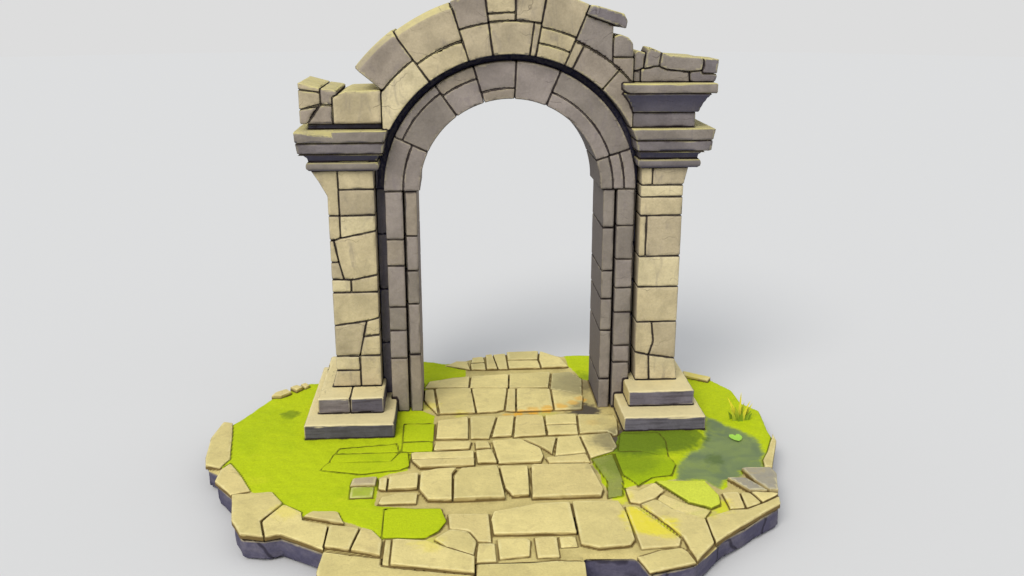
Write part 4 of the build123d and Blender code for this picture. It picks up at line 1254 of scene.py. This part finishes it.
@dataclass
class Island:
    """Rock, rim slabs, paving, turf and low wet ground."""

    carver: Carver
    slab_tooling: Tooling = Tooling(spacing=0.022, inset=0.006, wear=0.003, chip=0.008, relief=0.002, softening=1,
                                    chip_share=0.2, ground_line=0.172)
    turf_tooling: Tooling = Tooling(spacing=0.022, inset=0.006, relief=0.003, relief_scale=9, wear=0.004, chip=0.0,
                                    softening=2, ground_line=0.176)
    rock_tooling: Tooling = Tooling(spacing=0.045, coarse=0.12, inset=0.024, relief=0.020, relief_scale=4.5,
                                    wear=0.012, wear_scale=7, chip=0.0, softening=1)

    def build(self) -> list[bpy.types.Object]:
        """Build the ground.

        Returns:
            The pieces of the ground.
        """
        # Flagstones: painted light on tops, painted shade on sides, flanks and undersides, painted highlights on
        # arrises; dark joints carry painted contact shade.
        flag = StoneFinish("flagstone_finish", top=Tint.STRAW.value, under=Tint.SLATE.value, top_share=0.2,
                           flank_shade=srgb(176, 158, 112), flank_shade_share=0.3, side=srgb(170, 150, 96),
                           joint=srgb(112, 92, 50), edge=srgb(240, 228, 170), edge_share=0.35, mottle=0.12,
                           crack_axis="Y", crack_rate=3.0, crack_bend=1.4, crack_share=0.3).material()
        ledge = GroundFinish("turf_ledge_finish").material()
        path = (Tint.STRAW, Tint.BUFF, Tint.STRAW, Tint.OCHRE, Tint.STRAW)
        rims = (Tint.BUFF, Tint.OCHRE, Tint.BUFF, Tint.STRAW)
        pieces = Masonry(self.carver, flag, "flagstone", self.slab_tooling, {
            "paving_back_row": path, "paving_rear_row": (Tint.STRAW, Tint.STRAW, Tint.BUFF, Tint.SAGE),
            "paving_passage_row": path, "paving_threshold_row": path, "paving_front_steps": path,
            "paving_pentagon_row": path, "paving_long_row": path, "paving_front_row": path, "rim_slabs_left": rims,
            "rim_slabs_front": rims, "rim_slabs_right": rims, "leaning_slabs": (Tint.SHALE, Tint.SHALE),
            "ledge_stones": (Tint.DUN, Tint.MOSS), "edge_stones_back": rims}).build()
        pieces += Masonry(self.carver, ledge, "turf", self.turf_tooling, {
            "turf_ledges_left": (Tint.MEADOW,),
            "turf_slabs_right": (Tint.LIME, Tint.STRAW, Tint.MOSS, Tint.MOSS, Tint.OLIVE)}, turfed=True).build()
        pieces += GroundCover(self.carver.yard).build()
        pieces += Masonry(self.carver, RockFinish("rock_finish").material(), "rock", self.rock_tooling,
                          {"rock_base": (Tint.CLIFF,)}).build()
        return pieces


@dataclass
class Piers:
    """Stepped bases, shafts and capitals of the two piers."""

    carver: Carver
    shaft_tooling: Tooling = Tooling()
    step_tooling: Tooling = Tooling(inset=0.014, wear=0.006, chip=0.012, softening=1, joint_reach=0.007,
                                    ground_line=0.18)
    capital_tooling: Tooling = Tooling(inset=0.009, wear=0.005, chip=0.012, relief=0.0018)

    def build(self) -> list[bpy.types.Object]:
        """Build both piers.

        Returns:
            The pieces of the piers.
        """
        # Piers: painted light on tops, painted shade underneath.
        pier = StoneFinish("pier_stone_finish", top=Tint.PALE_SAND.value, under=Tint.SLATE.value).material()
        # Bases: full painted light on step tops, painted shade underneath and on flanks, painted light on faces
        # turned west.
        base = StoneFinish("base_stone_finish", top=srgb(224, 209, 158), under=Tint.NIGHT.value, top_share=1.0,
                           top_rag=0.9, flank_shade=Tint.SLATE.value, west=srgb(204, 188, 134), edge_share=0.5,
                           mottle=0.24, bedding=0.45, crack_rate=22.0, crack_bend=1.6, crack_share=0.75).material()
        # Capitals: painted light on tops and arrises, painted shade underneath.
        moulded = StoneFinish("capital_stone_finish", top=srgb(216, 204, 134), under=srgb(74, 72, 96),
                              edge=srgb(236, 226, 132), edge_share=0.45, mottle=0.22, crack_rate=14.0,
                              crack_bend=1.0).material()
        sunny = (Tint.SAND, Tint.PALE_SAND, Tint.SAND, Tint.DUN, Tint.SAND)
        pieces = Masonry(self.carver, pier, "pier_stone", self.shaft_tooling, {
            f"{side}_shaft_{part}": sunny
            for side in ("left", "right") for part in ("lower", "middle", "upper")}).build()
        pieces += Masonry(self.carver, base, "base_stone", self.step_tooling, {
            # The steps' dark tints are painted shade on their fronts.
            "left_lower_step": (Tint.SLATE,), "left_upper_step": (Tint.MAUVE_GREY, Tint.SLATE),
            "right_lower_step": (Tint.DUSK,), "right_upper_step": (Tint.DUSK,)}).build()
        pieces += Masonry(self.carver, moulded, "capital_stone", self.capital_tooling, {
            # The cavettos' dark tints (NIGHT, SLATE) are painted shade in their hollows.
            "left_necking": (Tint.ASH,), "left_cavetto": (Tint.NIGHT,), "left_lower_slab": (Tint.MAUVE_GREY,),
            "left_upper_slab": (Tint.ASH,), "right_necking": (Tint.MAUVE_GREY,), "right_cavetto": (Tint.NIGHT,),
            "right_lower_slab": (Tint.MAUVE_GREY,), "right_upper_slab": (Tint.ASH,),
            "right_frieze": (Tint.MAUVE_GREY,), "right_upper_cavetto": (Tint.SLATE,),
            "right_top_slab": (Tint.ASH,)}).build()
        return pieces


@dataclass
class Arch:
    """Jambs, fillets and rings of voussoirs, with the masonry above the capitals."""

    carver: Carver
    jamb_tooling: Tooling = Tooling(inset=0.009)
    ring_tooling: Tooling = Tooling(inset=0.010, spacing=0.017, chip=0.014)
    recess_tooling: Tooling = Tooling(inset=0.006, spacing=0.03, wear=0.003, chip=0.0)
    fillet_tooling: Tooling = Tooling(inset=0.006, spacing=0.03, wear=0.003, chip=0.0, joint_reach=0.004)

    def build(self) -> list[bpy.types.Object]:
        """Build the arch.

        Returns:
            The pieces of the arch and the walls beside it.
        """
        # Jambs: painted light on tops, painted shade underneath, on flanks and on faces turned west.
        jamb = StoneFinish("jamb_stone_finish", top=Tint.DUN.value, under=Tint.SLATE.value, top_share=0.4,
                           flank_shade=srgb(118, 108, 114), flank_shade_share=0.3, west=srgb(106, 99, 97)).material()
        # Outer ring: painted light on tops and painted highlights on arrises.
        weathered_and_lit = StoneFinish("weathered_stone_finish", top=srgb(218, 206, 138), under=Tint.SLATE.value,
                                edge=srgb(238, 228, 146), edge_share=0.42, mottle=0.24).material()
        # Recesses: dark navy stone, deepened with painted shade.
        recess = StoneFinish("recess_stone_finish", top=Tint.SLATE.value, under=Tint.NIGHT.value,
                             flank_shade=Tint.NIGHT.value, edge_share=0.1, joint=srgb(62, 60, 84)).material()
        grey = (Tint.WARM_GREY, Tint.TAUPE, Tint.ASH, Tint.TAUPE)
        pieces = Masonry(self.carver, jamb, "jamb_stone", self.jamb_tooling, {
            "left_jamb_inner_order": grey, "left_jamb_outer_order": grey,
            "right_jamb_inner_order": (Tint.ASH,),
            "right_jamb_outer_order": (Tint.ASH, Tint.TAUPE, Tint.ASH)}).build()
        pieces += Masonry(self.carver, jamb, "jamb_stone", self.ring_tooling, {
            "inner_ring": (Tint.ASH, Tint.TAUPE, Tint.TAUPE, Tint.TAUPE, Tint.ASH, Tint.TAUPE, Tint.WARM_GREY,
                           Tint.TAUPE, Tint.TAUPE, Tint.WARM_GREY)}).build()
        # The recess ring's and fillets' dark tints are partly painted shade.
        pieces += Masonry(self.carver, recess, "recess_stone", self.recess_tooling, {
            "recess_ring": (Tint.SLATE,)}).build()
        pieces += Masonry(self.carver, recess, "recess_stone", self.fillet_tooling, {
            "left_recess_fillet": (Tint.DUSK,), "right_recess_fillet": (Tint.ASH,)}).build()
        mixed = (Tint.WARM_GREY, Tint.WARM_GREY, Tint.SAND, Tint.DUN, Tint.DUN, Tint.WARM_GREY)
        broken = (Tint.ASH, Tint.ASH, Tint.MAUVE_GREY, Tint.ASH)
        pieces += Masonry(self.carver, weathered_and_lit, "weathered_stone", self.ring_tooling, {
            "outer_ring_lower_row": (Tint.WARM_GREY, Tint.WARM_GREY, Tint.DUN, Tint.SAND, Tint.SAND, Tint.DUN,
                                     Tint.DUN, Tint.DUN, Tint.SAND, Tint.PALE_SAND),
            "outer_ring_upper_row": (Tint.DUN, Tint.DUN, Tint.DUN, Tint.SAND, Tint.WARM_GREY, Tint.DUN,
                                     Tint.WARM_GREY, Tint.ASH),
            "arch_cap_stone": (Tint.MAUVE_GREY,), "arch_rubble": (Tint.ASH, Tint.WARM_GREY),
            # The left wall's bed takes the darkest tint: painted shade under the wall stones.
            "left_wall_bed": (Tint.NIGHT,), "left_wall_stones": mixed, "right_ruin_stones": broken}).build()
        return pieces


@dataclass
class Plants:
    """A tuft of grass at the right shore and one leaf on the damp ground."""

    carver: Carver
    blades: tuple[tuple[float, float, float, float, float, float], ...] = (
        (1.740, -0.640, 0.024, 0.232, 0.004, 1.0), (1.716, -0.632, 0.030, 0.190, -0.074, 1.0),
        (1.764, -0.652, 0.026, 0.165, 0.052, 1.0), (1.798, -0.606, 0.026, 0.122, 0.052, 0.7),
        (1.700, -0.655, 0.026, 0.112, -0.036, 0.6), (1.776, -0.628, 0.034, 0.100, 0.036, 0.3),
        (1.728, -0.650, 0.034, 0.125, -0.030, 0.4), (1.752, -0.625, 0.032, 0.140, 0.026, 0.4),
        (1.712, -0.645, 0.034, 0.080, -0.030, 0.1), (1.790, -0.645, 0.034, 0.080, 0.040, 0.1),
        (1.745, -0.660, 0.036, 0.070, 0.010, 0.0), (1.765, -0.600, 0.034, 0.085, -0.020, 0.2),
        (1.810, -0.640, 0.030, 0.060, 0.030, 0.0), (1.690, -0.615, 0.030, 0.065, -0.030, 0.1))
    root_level: float = 0.184
    leaf_place: tuple[float, float, float] = (1.637, -0.936, 0.186)
    leaf_outline: Outline = (
        (0.000, -0.070), (0.026, -0.042), (0.044, -0.006), (0.046, 0.026), (0.034, 0.054), (0.012, 0.050),
        (0.000, 0.022), (-0.018, 0.052), (-0.042, 0.050), (-0.049, 0.020), (-0.044, -0.012), (-0.026, -0.046))
    steps: int = 7
    tip_width: float = 0.0006
    fold: float = 0.25
    taper: float = 2.2
    bow: float = 1.6
    root_light: float = 0.35
    leaf_cup: float = 0.006
    leaf_droop: float = 0.1
    leaf_middle_light: float = -0.4
    leaf_rim_light: float = -0.6

    def build(self) -> list[bpy.types.Object]:
        """Grow the tuft and lay the leaf.

        Returns:
            The single piece that stands for them.
        """
        work = bmesh.new()
        rise = work.verts.layers.float.new("rise")
        for x, y, width, height, lean, bright in self.blades:
            rows = []
            for step in range(self.steps + 1):
                share = step / self.steps
                half = 0.5 * width * (1 - share ** self.taper) + self.tip_width
                across = x + lean * share ** self.bow
                level = self.root_level + height * share
                row = [work.verts.new((across + side * half, y + turn * self.fold * half, level))
                       for side, turn in ((-1, -1), (0, 1), (1, -1))]
                for vertex in row:
                    vertex[rise] = bright * (self.root_light + (1 - self.root_light) * share)
                rows.append(row)
            for low, high in zip(rows, rows[1:]):
                for side in (0, 1):
                    work.faces.new((low[side], low[side + 1], high[side + 1], high[side])).smooth = True
        x, y, level = self.leaf_place
        middle = work.verts.new((x, y, level - self.leaf_cup))
        middle[rise] = self.leaf_middle_light
        rim = [work.verts.new((x + u, y + v, level - self.leaf_droop * abs(u))) for u, v in self.leaf_outline]
        for vertex in rim:
            vertex[rise] = self.leaf_rim_light
        for first, second in zip(rim, rim[1:] + rim[:1]):
            work.faces.new((middle, first, second))
        mesh = bpy.data.meshes.new("plants_grown")
        work.to_mesh(mesh)
        work.free()
        return [hand_over(mesh, LeafFinish("leaf_finish").material(), "plants")]


@dataclass
class Studio:
    """Pale floor and backdrop, soft daylight and the camera."""

    eye: tuple[float, float, float] = (-0.4258, -7.4348, 3.295)
    tilt: float = 73.5
    turn: float = -3.5
    lens: float = 34.28
    film_width: float = 36
    sight: float = 200
    backdrop: Colour = srgb(221, 221, 221)
    floor_colour: Colour = srgb(213, 213, 213)
    floor_radius: float = 60
    floor_level: float = -0.002
    sun_strength: float = 1.9
    sun_softness: float = 30
    sun_colour: Colour = (1.0, 0.97, 0.92)
    sun_place: tuple[float, float, float] = (46.0, 0.0, -28.0)
    sky_colour: Colour = (0.93, 0.96, 1.0)
    sky_strength: float = 0.72

    def build(self) -> None:
        """Set up the floor, the lights and the camera."""
        self.floor()
        self.lights()
        self.camera()

    def floor(self) -> None:
        """Lay the pale floor that the rock stands on."""
        work = bmesh.new()
        bmesh.ops.create_circle(work, cap_ends=True, radius=self.floor_radius, segments=96)
        mesh = bpy.data.meshes.new("floor")
        work.to_mesh(mesh)
        work.free()
        graph = Graph("floor_finish")
        diffuse = graph.node("ShaderNodeBsdfDiffuse")
        diffuse.inputs["Color"].default_value = (*self.floor_colour, 1)
        out = graph.node("ShaderNodeOutputMaterial")
        graph.put(out.inputs["Surface"], diffuse.outputs[0])
        mesh.materials.append(graph.material)
        piece = bpy.data.objects.new("floor", mesh)
        piece.location.z = self.floor_level
        bpy.context.scene.collection.objects.link(piece)

    def lights(self) -> None:
        """Light the object with a broad sun and an even sky, and show the sky as a pale backdrop."""
        lamp = bpy.data.lights.new("sun", "SUN")
        lamp.energy = self.sun_strength
        lamp.angle = math.radians(self.sun_softness)
        lamp.color = self.sun_colour
        sun = bpy.data.objects.new("sun", lamp)
        sun.rotation_euler = Euler([math.radians(value) for value in self.sun_place])
        bpy.context.scene.collection.objects.link(sun)
        world = bpy.data.worlds.new("sky")
        bpy.context.scene.world = world
        world.use_nodes = True
        tree = world.node_tree
        tree.nodes.clear()
        path = tree.nodes.new("ShaderNodeLightPath")
        seen = tree.nodes.new("ShaderNodeBackground")
        seen.inputs["Color"].default_value = (*self.backdrop, 1)
        cast = tree.nodes.new("ShaderNodeBackground")
        cast.inputs["Color"].default_value = (*self.sky_colour, 1)
        cast.inputs["Strength"].default_value = self.sky_strength
        blend = tree.nodes.new("ShaderNodeMixShader")
        out = tree.nodes.new("ShaderNodeOutputWorld")
        tree.links.new(path.outputs["Is Camera Ray"], blend.inputs[0])
        tree.links.new(cast.outputs[0], blend.inputs[1])
        tree.links.new(seen.outputs[0], blend.inputs[2])
        tree.links.new(blend.outputs[0], out.inputs["Surface"])

    def camera(self) -> None:
        """Place the camera where the picture was taken from."""
        data = bpy.data.cameras.new("camera")
        data.lens = self.lens
        data.sensor_width = self.film_width
        data.clip_end = self.sight
        camera = bpy.data.objects.new("camera", data)
        camera.location = self.eye
        camera.rotation_euler = Euler((math.radians(self.tilt), 0, math.radians(self.turn)))
        bpy.context.scene.collection.objects.link(camera)
        bpy.context.scene.camera = camera
        bpy.context.scene.view_settings.view_transform = "Standard"


def clear_defaults() -> None:
    """Take out objects that Blender starts with."""
    for name in ("Cube", "Light", "Camera"):
        if name in bpy.data.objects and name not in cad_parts:
            bpy.data.objects.remove(bpy.data.objects[name])


def main() -> None:
    """Build the gateway's looks and report each piece."""
    logging.basicConfig(level=logging.INFO, format="%(message)s")
    clear_defaults()
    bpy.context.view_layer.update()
    carver = Carver(StoneYard())
    Studio().build()
    pieces: list[bpy.types.Object] = []
    for part in (Island(carver), Piers(carver), Arch(carver), Plants(carver)):
        pieces += part.build()
    log.info("%d pieces, %d faces", len(pieces), sum(len(piece.data.polygons) for piece in pieces))


if __name__ == "__main__":
    main()
